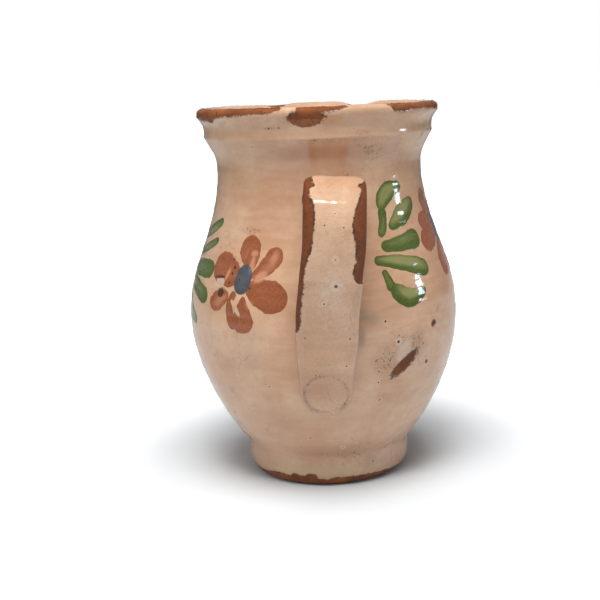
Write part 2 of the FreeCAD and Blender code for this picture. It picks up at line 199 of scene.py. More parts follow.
def make_mesh_object(name: str, grids: list[Grid]) -> bpy.types.Object:
    """Joins closed grids into one smooth object in metres, with doubled points at seams and poles merged.

    Args:
        name: The object's name.
        grids: Closed surfaces in millimetres. All have the same named values.

    Returns:
        The new object, at the origin.
    """
    points, faces, start = [], [], 0
    for grid in grids:
        cells = grid.faces()
        if grid.volume_sign(cells) < 0:
            cells = cells[:, ::-1]
        faces.append(cells + start)
        points.append(grid.points.reshape(-1, 3))
        start += len(points[-1])
    spots, cells = np.concatenate(points) * MM, np.concatenate(faces)
    mesh = bpy.data.meshes.new(name)
    mesh.vertices.add(len(spots))
    mesh.vertices.foreach_set("co", spots.astype(np.float32).ravel())
    mesh.loops.add(cells.size)
    mesh.loops.foreach_set("vertex_index", cells.astype(np.int32).ravel())
    mesh.polygons.add(len(cells))
    mesh.polygons.foreach_set("loop_start", np.arange(0, cells.size, 4, dtype=np.int32))
    for key in grids[0].values:
        layer = mesh.attributes.new(key, "FLOAT", "POINT")
        layer.data.foreach_set("value", np.concatenate([g.values[key].ravel() for g in grids]).astype(np.float32))
    if grids[0].uv is not None:
        flat = np.concatenate([g.uv.reshape(-1, 2) for g in grids])[cells.ravel()]
        mesh.uv_layers.new(name="along").data.foreach_set("uv", flat.astype(np.float32).ravel())
    mesh.update(calc_edges=True)
    mesh.validate()
    work = bmesh.new()
    work.from_mesh(mesh)
    bmesh.ops.remove_doubles(work, verts=work.verts, dist=WELD)
    work.to_mesh(mesh)
    work.free()
    mesh.polygons.foreach_set("use_smooth", np.ones(len(mesh.polygons), dtype=bool))
    made = bpy.data.objects.new(name, mesh)
    bpy.context.scene.collection.objects.link(made)
    return made


# ------------------------------------------------------------------------------------------------ wiring materials
class Wiring:
    """A node tree being built, with short ways to add the nodes that every finish uses."""

    def __init__(self, tree: bpy.types.NodeTree) -> None:
        """Starts wiring in a tree."""
        self.tree = tree

    def add(self, kind: str, inputs: Optional[dict] = None, **settings) -> bpy.types.Node:
        """Adds a node.

        Args:
            kind: The node's type name, without its "ShaderNode" start.
            inputs: Input names or numbers, each with a socket to link or a value to set.
            settings: The node's own properties.

        Returns:
            The node.
        """
        node = self.tree.nodes.new("ShaderNode" + kind)
        for name, value in settings.items():
            setattr(node, name, value)
        self.feed(node, inputs or {})
        return node

    def feed(self, node: bpy.types.Node, inputs: dict) -> None:
        """Links or sets a node's inputs.

        Args:
            node: The node.
            inputs: Input names or numbers, each with a socket to link or a value to set.
        """
        for name, value in inputs.items():
            if isinstance(value, Socket):
                self.tree.links.new(value, node.inputs[name])
            else:
                node.inputs[name].default_value = value

    def math(self, operation: str, a: Wired, b: Wired = 0.0, c: Wired = 0.0, clamp: bool = False) -> Socket:
        """The result of one Math node on up to three sockets or numbers."""
        return self.add("Math", {0: a, 1: b, 2: c}, operation=operation, use_clamp=clamp).outputs[0]

    def ease(self, value: Socket, low: float, high: float) -> Socket:
        """0 below low, 1 above high, and a smooth step between. low may be above high, which turns it round."""
        inputs = {"Value": value, "From Min": low, "From Max": high}
        return self.add("MapRange", inputs, interpolation_type="SMOOTHSTEP").outputs["Result"]

    def blend(self, share: Wired, under: Union[Socket, Colour], over: Union[Socket, Colour]) -> Socket:
        """Colour over laid on colour under by a share from 0 to 1."""
        return self.add("Mix", {0: share, 6: under, 7: over}, data_type="RGBA").outputs[2]

    def noise(
        self, place: Socket, scale: float, detail: float = 3.0, rough: float = 0.55, twist: float = 0.0
    ) -> Socket:
        """Cloudy noise around 0.5, at scale waves for each millimetre."""
        inputs = {"Vector": place, "Scale": scale, "Detail": detail, "Roughness": rough, "Distortion": twist}
        return self.add("TexNoise", inputs).outputs[0]

    def cells(self, place: Socket, scale: float, feature: str = "F1") -> bpy.types.Node:
        """Voronoi cells, at scale cells for each millimetre."""
        return self.add("TexVoronoi", {"Vector": place, "Scale": scale}, feature=feature)

    def stretched(self, place: Socket, by: tuple[float, float, float]) -> Socket:
        """A place multiplied by three numbers."""
        return self.add("VectorMath", {0: place, 1: by}, operation="MULTIPLY").outputs[0]

    def attribute(self, name: str) -> Socket:
        """A number carried by the mesh's points."""
        return self.add("Attribute", attribute_name=name, attribute_type="GEOMETRY").outputs["Fac"]

    def millimetres(self) -> Socket:
        """The point's place on the object, in millimetres."""
        place = self.add("TexCoord").outputs["Object"]
        return self.add("VectorMath", {0: place, "Scale": 1 / MM}, operation="SCALE").outputs[0]


@dataclass(frozen=True)
class Effect:
    """A shader node group that several finishes share."""

    name: str
    takes: tuple[tuple[str, str, object], ...]
    gives: tuple[tuple[str, str], ...]
    wire: Callable[[Wiring, dict[str, Socket]], dict[str, Socket]]

    def group(self) -> bpy.types.NodeTree:
        """The node group, built the first time that it is asked for.

        Returns:
            The group, with the sockets named in takes and gives.
        """
        if self.name in bpy.data.node_groups:
            return bpy.data.node_groups[self.name]
        tree = bpy.data.node_groups.new(self.name, "ShaderNodeTree")
        for name, kind, value in self.takes:
            socket = tree.interface.new_socket(name, in_out="INPUT", socket_type="NodeSocket" + kind)
            if value is not None:
                socket.default_value = value
        for name, kind in self.gives:
            tree.interface.new_socket(name, in_out="OUTPUT", socket_type="NodeSocket" + kind)
        entry, way_out = tree.nodes.new("NodeGroupInput"), tree.nodes.new("NodeGroupOutput")
        results = self.wire(Wiring(tree), {socket.name: socket for socket in entry.outputs if socket.name})
        for name, socket in results.items():
            tree.links.new(socket, way_out.inputs[name])
        return tree

    def place(self, wiring: Wiring, inputs: dict) -> dict[str, Socket]:
        """Puts the group in a tree with its own values.

        Args:
            wiring: Where it goes.
            inputs: Input names, each with a socket or a value.

        Returns:
            Its outputs by name.
        """
        node = wiring.tree.nodes.new("ShaderNodeGroup")
        node.node_tree = self.group()
        wiring.feed(node, inputs)
        return {socket.name: socket for socket in node.outputs}


def rgb(red: float, green: float, blue: float) -> Colour:
    """A solid colour in linear light."""
    return (red, green, blue, 1.0)


WHITE, BLACK = rgb(1.0, 1.0, 1.0), rgb(0.0, 0.0, 0.0)
CREAM, FLUSH, PALE = rgb(0.56, 0.355, 0.228), rgb(0.47, 0.258, 0.148), rgb(0.62, 0.43, 0.30)
# The middle colour here is the grey of stains and of painted shade.
SCRAPED, STAIN_AND_SHADE, TANNED = rgb(0.56, 0.43, 0.34), rgb(0.17, 0.14, 0.115), rgb(0.33, 0.2, 0.11)
# The first colour here is the orange-brown of scorch marks, of painted shade and of a painted dark reflection.
SCORCH_AND_SHADE, STRAW, GRAINED = rgb(0.36, 0.165, 0.095), rgb(0.46, 0.33, 0.185), rgb(0.24, 0.15, 0.09)
SMUT, HAIR_CRACK, PINHOLE = rgb(0.12, 0.07, 0.042), rgb(0.2, 0.1, 0.055), rgb(0.09, 0.05, 0.03)
# The first colour here is painted shade along the step where glaze has broken off.
EDGE_STEP_SHADE, BURST, BURST_RING = rgb(0.035, 0.014, 0.008), rgb(0.05, 0.03, 0.02), rgb(0.56, 0.45, 0.36)
CLAY_SHADE, CLAY_LIGHT, CLAY_SAND = rgb(0.13, 0.038, 0.012), rgb(0.26, 0.078, 0.022), rgb(0.30, 0.115, 0.045)
CLAY_DARK, CLAY_SOOT = rgb(0.10, 0.026, 0.009), rgb(0.07, 0.025, 0.012)
LOST_SLIP, CHIPPED_SLIP = rgb(0.50, 0.35, 0.25), rgb(0.075, 0.03, 0.018)


def wire_pinholes(w: Wiring, take: dict[str, Socket]) -> dict[str, Socket]:
    """Pits where gas broke through the glaze: in each Voronoi cell a dot of the cell's own random size, with a
    wider pale ring round it.

    Args:
        w: The group's wiring.
        take: The group's inputs by name.

    Returns:
        The group's outputs by name.
    """
    spread = w.noise(take["Place"], 0.35, 2.0)
    moved = w.add("VectorMath", {0: take["Place"], 1: spread}, operation="ADD").outputs[0]
    cells = w.add("TexVoronoi", {"Vector": moved, "Scale": take["Scale"], "Randomness": 1.0}, feature="F1")
    lot = w.add("SeparateColor", {0: cells.outputs["Color"]}).outputs
    chosen = w.math("LESS_THAN", lot[0], take["Amount"])
    width = w.math("MULTIPLY_ADD", w.math("POWER", lot[1], 3.0), 0.8, 0.25)
    reach = w.math("MULTIPLY", width, take["Size"])
    near = w.math("DIVIDE", w.math("DIVIDE", cells.outputs["Distance"], take["Scale"]), reach)
    dot = w.math("MULTIPLY", w.ease(near, 1.0, 0.55), chosen)
    halo = w.math("MULTIPLY", w.ease(near, 3.4, 1.6), chosen)
    return {"Dot": dot, "Halo": halo}


PINHOLES = Effect(
    "pinholes in the glaze",
    (("Place", "Vector", None), ("Scale", "Float", 0.2), ("Size", "Float", 0.5), ("Amount", "Float", 0.5)),
    (("Dot", "Float"), ("Halo", "Float")),
    wire_pinholes,
)


def wire_crazing(w: Wiring, take: dict[str, Socket]) -> dict[str, Socket]:
    """Hair cracks: the borders of stretched, wavering Voronoi cells, kept only where a broad noise is high.

    Args:
        w: The group's wiring.
        take: The group's inputs by name.

    Returns:
        The group's outputs by name.
    """
    sway = w.add("TexNoise", {"Vector": take["Place"], "Scale": 0.12, "Detail": 3.0}).outputs["Color"]
    bent = w.add("VectorMath", {0: sway, "Scale": 14.0}, operation="SCALE").outputs[0]
    moved = w.add("VectorMath", {0: take["Place"], 1: bent}, operation="ADD").outputs[0]
    border = w.cells(moved, 0.055, "DISTANCE_TO_EDGE").outputs["Distance"]
    finer = w.cells(moved, 0.16, "DISTANCE_TO_EDGE").outputs["Distance"]
    kept = w.ease(w.noise(take["Place"], 0.03, 2.0), 0.53, 0.62)
    also = w.ease(w.noise(take["Place"], 0.05, 2.0, 0.6, 1.0), 0.58, 0.66)
    line = w.math("MULTIPLY", w.ease(border, 0.012, 0.003), kept)
    hair = w.math("MULTIPLY", w.ease(finer, 0.02, 0.004), also)
    return {"Crack": w.math("MAXIMUM", line, w.math("MULTIPLY", hair, 0.6))}


CRAZING = Effect("hair cracks", (("Place", "Vector", None),), (("Crack", "Float"),), wire_crazing)


def wire_fired_clay(w: Wiring, take: dict[str, Socket]) -> dict[str, Socket]:
    """Bare earthenware: orange-brown with darker clouds, soot-dark grains and a sandy surface.

    Args:
        w: The group's wiring.
        take: The group's inputs by name.

    Returns:
        The group's outputs by name.
    """
    place = take["Place"]
    cloud = w.ease(w.noise(place, 0.09, 4.0), 0.3, 0.7)
    colour = w.blend(cloud, CLAY_SHADE, CLAY_LIGHT)
    colour = w.blend(take["Dark"], colour, CLAY_DARK)
    grain = w.ease(w.noise(place, 0.9, 4.0, 0.7), 0.35, 0.75)
    colour = w.blend(w.math("MULTIPLY", grain, 0.3), colour, CLAY_SAND)
    soot = w.math("MULTIPLY", w.ease(w.noise(place, 0.3, 6.0, 0.75), 0.5, 0.66), 0.7)
    colour = w.blend(soot, colour, CLAY_SOOT)
    rough = w.math("MULTIPLY_ADD", grain, 0.25, 0.55)
    sand = w.math("MULTIPLY", w.noise(place, 1.6, 5.0, 0.75), 0.12)
    return {"Color": colour, "Roughness": rough, "Height": w.math("MULTIPLY_ADD", grain, 0.08, sand)}


FIRED_CLAY = Effect(
    "fired clay",
    (("Place", "Vector", None), ("Dark", "Float", 0.0)),
    (("Color", "Color"), ("Roughness", "Float"), ("Height", "Float")),
    wire_fired_clay,
)


def wire_cream_glaze(w: Wiring, take: dict[str, Socket]) -> dict[str, Socket]:
    """Cream glaze over pink clay: broad pale and flushed clouds, faint turning streaks, freckles, pinholes with pale
    rings, hair cracks, pale scrapes, grey stains and darker orange-brown scorch marks where the inputs ask for them.
    Some of the grey and orange-brown marks are painted shade, and one is a painted dark reflection.

    Args:
        w: The group's wiring.
        take: The group's inputs by name.

    Returns:
        The group's outputs by name.
    """
    place = take["Place"]
    cloud = w.ease(w.noise(place, 0.028, 4.0, 0.6, 0.6), 0.33, 0.68)
    colour = w.blend(cloud, take["Flush"], take["Cream"])
    turned = w.stretched(place, (0.35, 0.35, 1.6))
    streak = w.ease(w.noise(turned, 0.12, 4.0, 0.6, 0.8), 0.35, 0.7)
    colour = w.blend(w.math("MULTIPLY", streak, 0.28), colour, take["Pale"])
    mottle = w.ease(w.noise(place, 0.22, 4.0, 0.62), 0.45, 0.72)
    colour = w.blend(w.math("MULTIPLY", mottle, 0.3), colour, take["Flush"])
    rag = w.math("MULTIPLY_ADD", w.noise(place, 0.4, 6.0, 0.7), 1.8, -0.9)
    scrape = w.ease(w.math("ADD", take["Scrape"], rag), 0.3, 0.75)
    colour = w.blend(w.math("MULTIPLY", scrape, 0.6), colour, SCRAPED)
    dust = w.ease(w.noise(place, 0.55, 6.0, 0.75), 0.52, 0.72)
    # Grey stains, and painted shade beside the handle and in the crease round its thumbed end.
    stain_and_shade = w.math("MULTIPLY", take["Stain And Shade"], w.math("MULTIPLY_ADD", dust, 0.6, 0.5), clamp=True)
    colour = w.blend(stain_and_shade, colour, STAIN_AND_SHADE)
    tan = w.math("MULTIPLY", w.ease(w.noise(place, 0.075, 5.0, 0.65, 1.2), 0.6, 0.74), 0.3)
    colour = w.blend(tan, colour, TANNED)
    # Darker orange-brown scorch marks, and painted shade and a painted dark reflection.
    colour = w.blend(w.math("MULTIPLY", take["Scorch And Shade"], 0.8), colour, SCORCH_AND_SHADE)
    colour = w.blend(w.math("MULTIPLY", take["Straw"], 0.7), colour, STRAW)
    grain = w.math("MULTIPLY", w.ease(w.noise(place, 1.3, 5.0, 0.8), 0.45, 0.75), 0.22)
    colour = w.blend(grain, colour, GRAINED)
    smut = w.ease(w.noise(place, 1.2, 6.0, 0.8), 0.47, 0.62)
    smudge = w.math("MULTIPLY", w.math("MULTIPLY", smut, take["Freckles"]), 0.82)
    colour = w.blend(smudge, colour, SMUT)
    crack = CRAZING.place(w, {"Place": place})["Crack"]
    colour = w.blend(w.math("MULTIPLY", crack, 0.38), colour, HAIR_CRACK)
    large = PINHOLES.place(w, {"Place": place, "Scale": 0.085, "Size": 0.85, "Amount": take["Pitted"]})
    small = PINHOLES.place(w, {"Place": place, "Scale": 0.24, "Size": 0.42, "Amount": take["Pitted"]})
    crowd = w.math("MULTIPLY", w.ease(take["Freckles"], 0.25, 0.8), 0.95)
    peppered = PINHOLES.place(w, {"Place": place, "Scale": 0.6, "Size": 0.95, "Amount": crowd})
    halo = w.math("MULTIPLY", w.math("MAXIMUM", large["Halo"], w.math("MULTIPLY", small["Halo"], 0.6)), 0.28)
    colour = w.blend(halo, colour, take["Pale"])
    dots = w.math("MAXIMUM", w.math("MAXIMUM", large["Dot"], small["Dot"]), peppered["Dot"])
    colour = w.blend(w.math("MULTIPLY", dots, 0.8), colour, PINHOLE)
    rough = w.math("MULTIPLY_ADD", w.noise(place, 0.09, 4.0, 0.6), 0.12, 0.03)
    rough = w.math("ADD", rough, w.math("MULTIPLY", w.math("MAXIMUM", dots, stain_and_shade), 0.35))
    peel = w.math("MULTIPLY", w.noise(place, 0.24, 3.0, 0.5), 0.22)
    pits = w.math("MULTIPLY", dots, -0.25)
    height = w.math("ADD", w.math("ADD", peel, pits), w.math("MULTIPLY", crack, -0.05))
    return {"Color": colour, "Roughness": rough, "Height": height}


CREAM_GLAZE = Effect(
    "cream glaze",
    (
        ("Place", "Vector", None),
        ("Cream", "Color", CREAM),
        ("Flush", "Color", FLUSH),
        ("Pale", "Color", PALE),
        ("Scrape", "Float", 0.0),
        ("Stain And Shade", "Float", 0.0),
        ("Freckles", "Float", 0.0),
        ("Scorch And Shade", "Float", 0.0),
        ("Straw", "Float", 0.0),
        ("Pitted", "Float", 0.5),
    ),
    (("Color", "Color"), ("Roughness", "Float"), ("Height", "Float")),
    wire_cream_glaze,
)


def wire_worn_edge(w: Wiring, take: dict[str, Socket]) -> dict[str, Socket]:
    """Glaze that has flaked off: bare clay where Bare, the distance into a bare patch, is above a ragged zero, with
    a dark line of painted shade along the border, where the broken glaze steps down, and a step down in height.

    Args:
        w: The group's wiring.
        take: The group's inputs by name.

    Returns:
        The group's outputs by name.
    """
    place = take["Place"]
    rag = w.math("MULTIPLY_ADD", w.noise(place, 0.75, 6.0, 0.8), 4.4, -2.2)
    depth = w.math("ADD", take["Bare"], rag)
    bare = w.ease(depth, -0.07, 0.07)
    # Painted shade: a dark band along the border of each bare patch, where the broken glaze steps down.
    edge_shade = w.math("MULTIPLY", w.ease(depth, -0.8, -0.25), w.ease(depth, 0.9, 0.3))
    patchy = w.ease(w.noise(place, 0.2, 3.0), 0.33, 0.52)
    edge_shade = w.math("MULTIPLY", w.math("MULTIPLY", edge_shade, patchy), take["Edge Shade"])
    colour = w.blend(bare, take["Glaze"], take["Clay"])
    colour = w.blend(edge_shade, colour, EDGE_STEP_SHADE)
    whole = w.math("SUBTRACT", 1.0, bare)
    glaze_rough = w.math("MULTIPLY", take["Glaze Roughness"], whole)
    rough = w.math("MULTIPLY_ADD", take["Clay Roughness"], bare, glaze_rough)
    step = w.math("MULTIPLY", whole, 0.35)
    smooth = w.math("MULTIPLY_ADD", take["Glaze Height"], whole, step)
    height = w.math("MULTIPLY_ADD", take["Clay Height"], bare, smooth)
    return {"Color": colour, "Roughness": rough, "Height": height}


WORN_EDGE = Effect(
    "worn glaze edge",
    (
        ("Place", "Vector", None),
        ("Bare", "Float", -5.0),
        ("Edge Shade", "Float", 0.8),
        ("Glaze", "Color", rgb(0.6, 0.4, 0.3)),
        ("Glaze Roughness", "Float", 0.15),
        ("Glaze Height", "Float", 0.0),
        ("Clay", "Color", rgb(0.3, 0.1, 0.03)),
        ("Clay Roughness", "Float", 0.7),
        ("Clay Height", "Float", 0.0),
    ),
    (("Color", "Color"), ("Roughness", "Float"), ("Height", "Float")),
    wire_worn_edge,
)


def wire_single_pit(w: Wiring, take: dict[str, Socket]) -> dict[str, Socket]:
    """One pit at a named spot: a dot of its size, and a ring that reaches some sizes out, both slightly ragged.

    Args:
        w: The group's wiring.
        take: The group's inputs by name.

    Returns:
        The group's outputs by name.
    """
    gap = w.add("VectorMath", {0: take["Place"], 1: take["Spot"]}, operation="DISTANCE").outputs["Value"]
    rag = w.math("MULTIPLY_ADD", w.noise(take["Place"], 1.1, 4.0, 0.7), 0.9, 0.55)
    near = w.math("DIVIDE", w.math("MULTIPLY", gap, rag), take["Size"])
    ring = w.math("DIVIDE", near, take["Reach"])
    return {"Dot": w.ease(near, 1.1, 0.8), "Ring": w.math("MULTIPLY", w.ease(ring, 1.05, 0.85), take["Haze"])}


SINGLE_PIT = Effect(
    "single pit",
    (
        ("Place", "Vector", None),
        ("Spot", "Vector", (0.0, 0.0, 0.0)),
        ("Size", "Float", 0.5),
        ("Reach", "Float", 2.5),
        ("Haze", "Float", 0.4),
    ),
    (("Dot", "Float"), ("Ring", "Float")),
    wire_single_pit,
)


@dataclass(frozen=True)
class Pit:
    """A burst bubble at a spot, in millimetres: the dot's radius and colour, how many radii its ring reaches, and
    the ring's strength and colour."""

    spot: tuple[float, float, float]
    size: float = 0.45
    reach: float = 2.5
    haze: float = 0.3
    dot: Colour = BURST
    ring: Colour = BURST_RING

    def wire(self, w: Wiring, place: Socket, colour: Socket) -> Socket:
        """The colour with this pit laid on it.

        Args:
            w: The material's wiring.
            place: The point's place on the object, in millimetres.
            colour: The colour under the pit.

        Returns:
            The colour with the pit.
        """
        inputs = {"Place": place, "Spot": self.spot, "Size": self.size, "Reach": self.reach, "Haze": self.haze}
        marks = SINGLE_PIT.place(w, inputs)
        return w.blend(marks["Dot"], w.blend(marks["Ring"], colour, self.ring), self.dot)


GLASS_IOR = 1.52


def finish_surface(w: Wiring, looks: dict[str, Socket], relief: float, gloss: float) -> None:
    """Ends a material: colour, roughness and bumps from looks go to the material's own Principled shader.

    Args:
        w: The material's wiring.
        looks: Sockets named Color, Roughness and Height, with the height in millimetres.
        relief: How strongly the height shows.
        gloss: The shader's own specular level.
    """
    bump = w.add("Bump", {"Strength": relief, "Distance": MM, "Height": looks["Height"]})
    inputs = {
        "Base Color": looks["Color"],
        "Roughness": looks["Roughness"],
        "Normal": bump.outputs["Normal"],
        "IOR": GLASS_IOR,
        "Specular IOR Level": gloss,
    }
    shader = w.add("BsdfPrincipled", inputs)
    sink = w.add("OutputMaterial")
    w.tree.links.new(shader.outputs["BSDF"], sink.inputs["Surface"])


def fresh_material(name: str) -> tuple[bpy.types.Material, Wiring]:
    """A new material with an empty tree, and its wiring.

    Args:
        name: The material's name.

    Returns:
        The material and the wiring of its tree.
    """
    material = bpy.data.materials.new(name)
    material.use_nodes = True
    material.node_tree.nodes.clear()
    return material, Wiring(material.node_tree)


@dataclass(frozen=True)
class BareClay:
    """Unglazed earthenware."""

    name: str = "bare clay"
    dark: float = 0.0

    def material(self) -> bpy.types.Material:
        """The finish as a material.

        Returns:
            A new material.
        """
        material, w = fresh_material(self.name)
        dark = w.math("MAXIMUM", w.attribute("soot"), self.dark)
        looks = FIRED_CLAY.place(w, {"Place": w.millimetres(), "Dark": dark})
        finish_surface(w, looks, 0.8, 0.22)
        return material


@dataclass(frozen=True)
class WornGlaze:
    """Cream glaze that has flaked down to the clay wherever the mesh's own "bare" value says so."""

    name: str = "worn cream glaze"
    dark_clay: float = 0.0
    # How strongly the painted shade along the glaze's broken border shows.
    edge: float = 0.8
    pitted: float = 0.5
    relief: float = 0.5
    pits: tuple[Pit, ...] = ()

    def material(self) -> bpy.types.Material:
        """The finish as a material.

        Returns:
            A new material.
        """
        material, w = fresh_material(self.name)
        place = w.millimetres()
        glaze = CREAM_GLAZE.place(
            w,
            {
                "Place": place,
                "Scrape": w.attribute("scrape"),
                "Stain And Shade": w.attribute("stain_and_shade"),
                "Freckles": w.attribute("freckles"),
                "Scorch And Shade": w.attribute("scorch_and_shade"),
                "Straw": w.attribute("straw"),
                "Pitted": self.pitted,
            },
        )
        colour = glaze["Color"]
        for pit in self.pits:
            colour = pit.wire(w, place, colour)
        dark = w.math("MAXIMUM", w.attribute("soot"), self.dark_clay)
        clay = FIRED_CLAY.place(w, {"Place": place, "Dark": dark})
        worn = {
            "Place": place,
            "Bare": w.attribute("bare"),
            "Edge Shade": self.edge,
            "Glaze": colour,
            "Glaze Roughness": glaze["Roughness"],
            "Glaze Height": glaze["Height"],
            "Clay": clay["Color"],
            "Clay Roughness": clay["Roughness"],
            "Clay Height": clay["Height"],
        }
        finish_surface(w, WORN_EDGE.place(w, worn), self.relief, 0.5)
        return material


@dataclass(frozen=True)
class BrushedSlip:
    """Coloured slip laid on with a loaded brush, thick at its borders and thin where the brush pressed."""

    name: str
    thick: Colour
    thin: Colour
    mottled: float = 0.3
    pits: tuple[Pit, ...] = ()

    def material(self) -> bpy.types.Material:
        """The finish as a material. Its streaks follow the stroke's own UV map, along by across.

        Returns:
            A new material.
        """
        material, w = fresh_material(self.name)
        place = w.millimetres()
        along = w.add("UVMap", uv_map="along").outputs[0]
        hairs = w.noise(w.stretched(along, (2.2, 9.0, 1.0)), 1.0, 4.0, 0.65, 0.4)
        thin = w.math("ADD", w.attribute("thin"), w.math("MULTIPLY_ADD", hairs, 0.9, -0.45))
        colour = w.blend(w.ease(thin, 0.0, 1.1), self.thick, self.thin)
        cloud = w.ease(w.noise(place, 0.8, 6.0, 0.75), 0.4, 0.72)
        colour = w.blend(w.math("MULTIPLY", cloud, self.mottled), colour, self.thin)
        grains = PINHOLES.place(w, {"Place": place, "Scale": 0.33, "Size": 0.4, "Amount": 0.5})
        colour = w.blend(w.math("MULTIPLY", grains["Dot"], 0.8), colour, BURST)
        rag = w.math("MULTIPLY_ADD", w.noise(place, 0.9, 5.0, 0.7), 0.8, -0.4)
        lost = w.ease(w.math("ADD", w.attribute("lost"), rag), 0.4, 0.5)
        colour = w.blend(lost, colour, LOST_SLIP)
        chip = w.ease(w.math("ADD", w.attribute("chipped"), rag), 0.4, 0.5)
        colour = w.blend(chip, colour, CHIPPED_SLIP)
        for pit in self.pits:
            colour = pit.wire(w, place, colour)
        rough = w.math("MULTIPLY_ADD", w.noise(place, 0.12, 3.0), 0.1, 0.03)
        peel = w.math("MULTIPLY", w.noise(place, 0.24, 3.0, 0.5), 0.22)
        finish_surface(w, {"Color": colour, "Roughness": rough, "Height": peel}, 0.5, 0.5)
        return material


# ------------------------------------------------------------------------------------------------ the thrown wall
def azimuth_line(azimuth: Points, line: tuple[tuple[float, float], ...]) -> Points:
    """Height of a broken line drawn round the pot, at each azimuth. The line closes on itself."""
    angles, heights = np.array(line).T
    return np.interp((azimuth + 180) % 360 - 180, angles, heights, period=360)


@dataclass(frozen=True)
class Flake:
    """A patch of glaze that has come off: on the wall, half sizes in millimetres, tilted in degrees. It is an
    ellipse when round is 2 and a lozenge when round is 1."""

    azimuth: float
    height: float
    half_length: float
    half_width: float
    tilt: float = 0.0
    round: float = 2.0


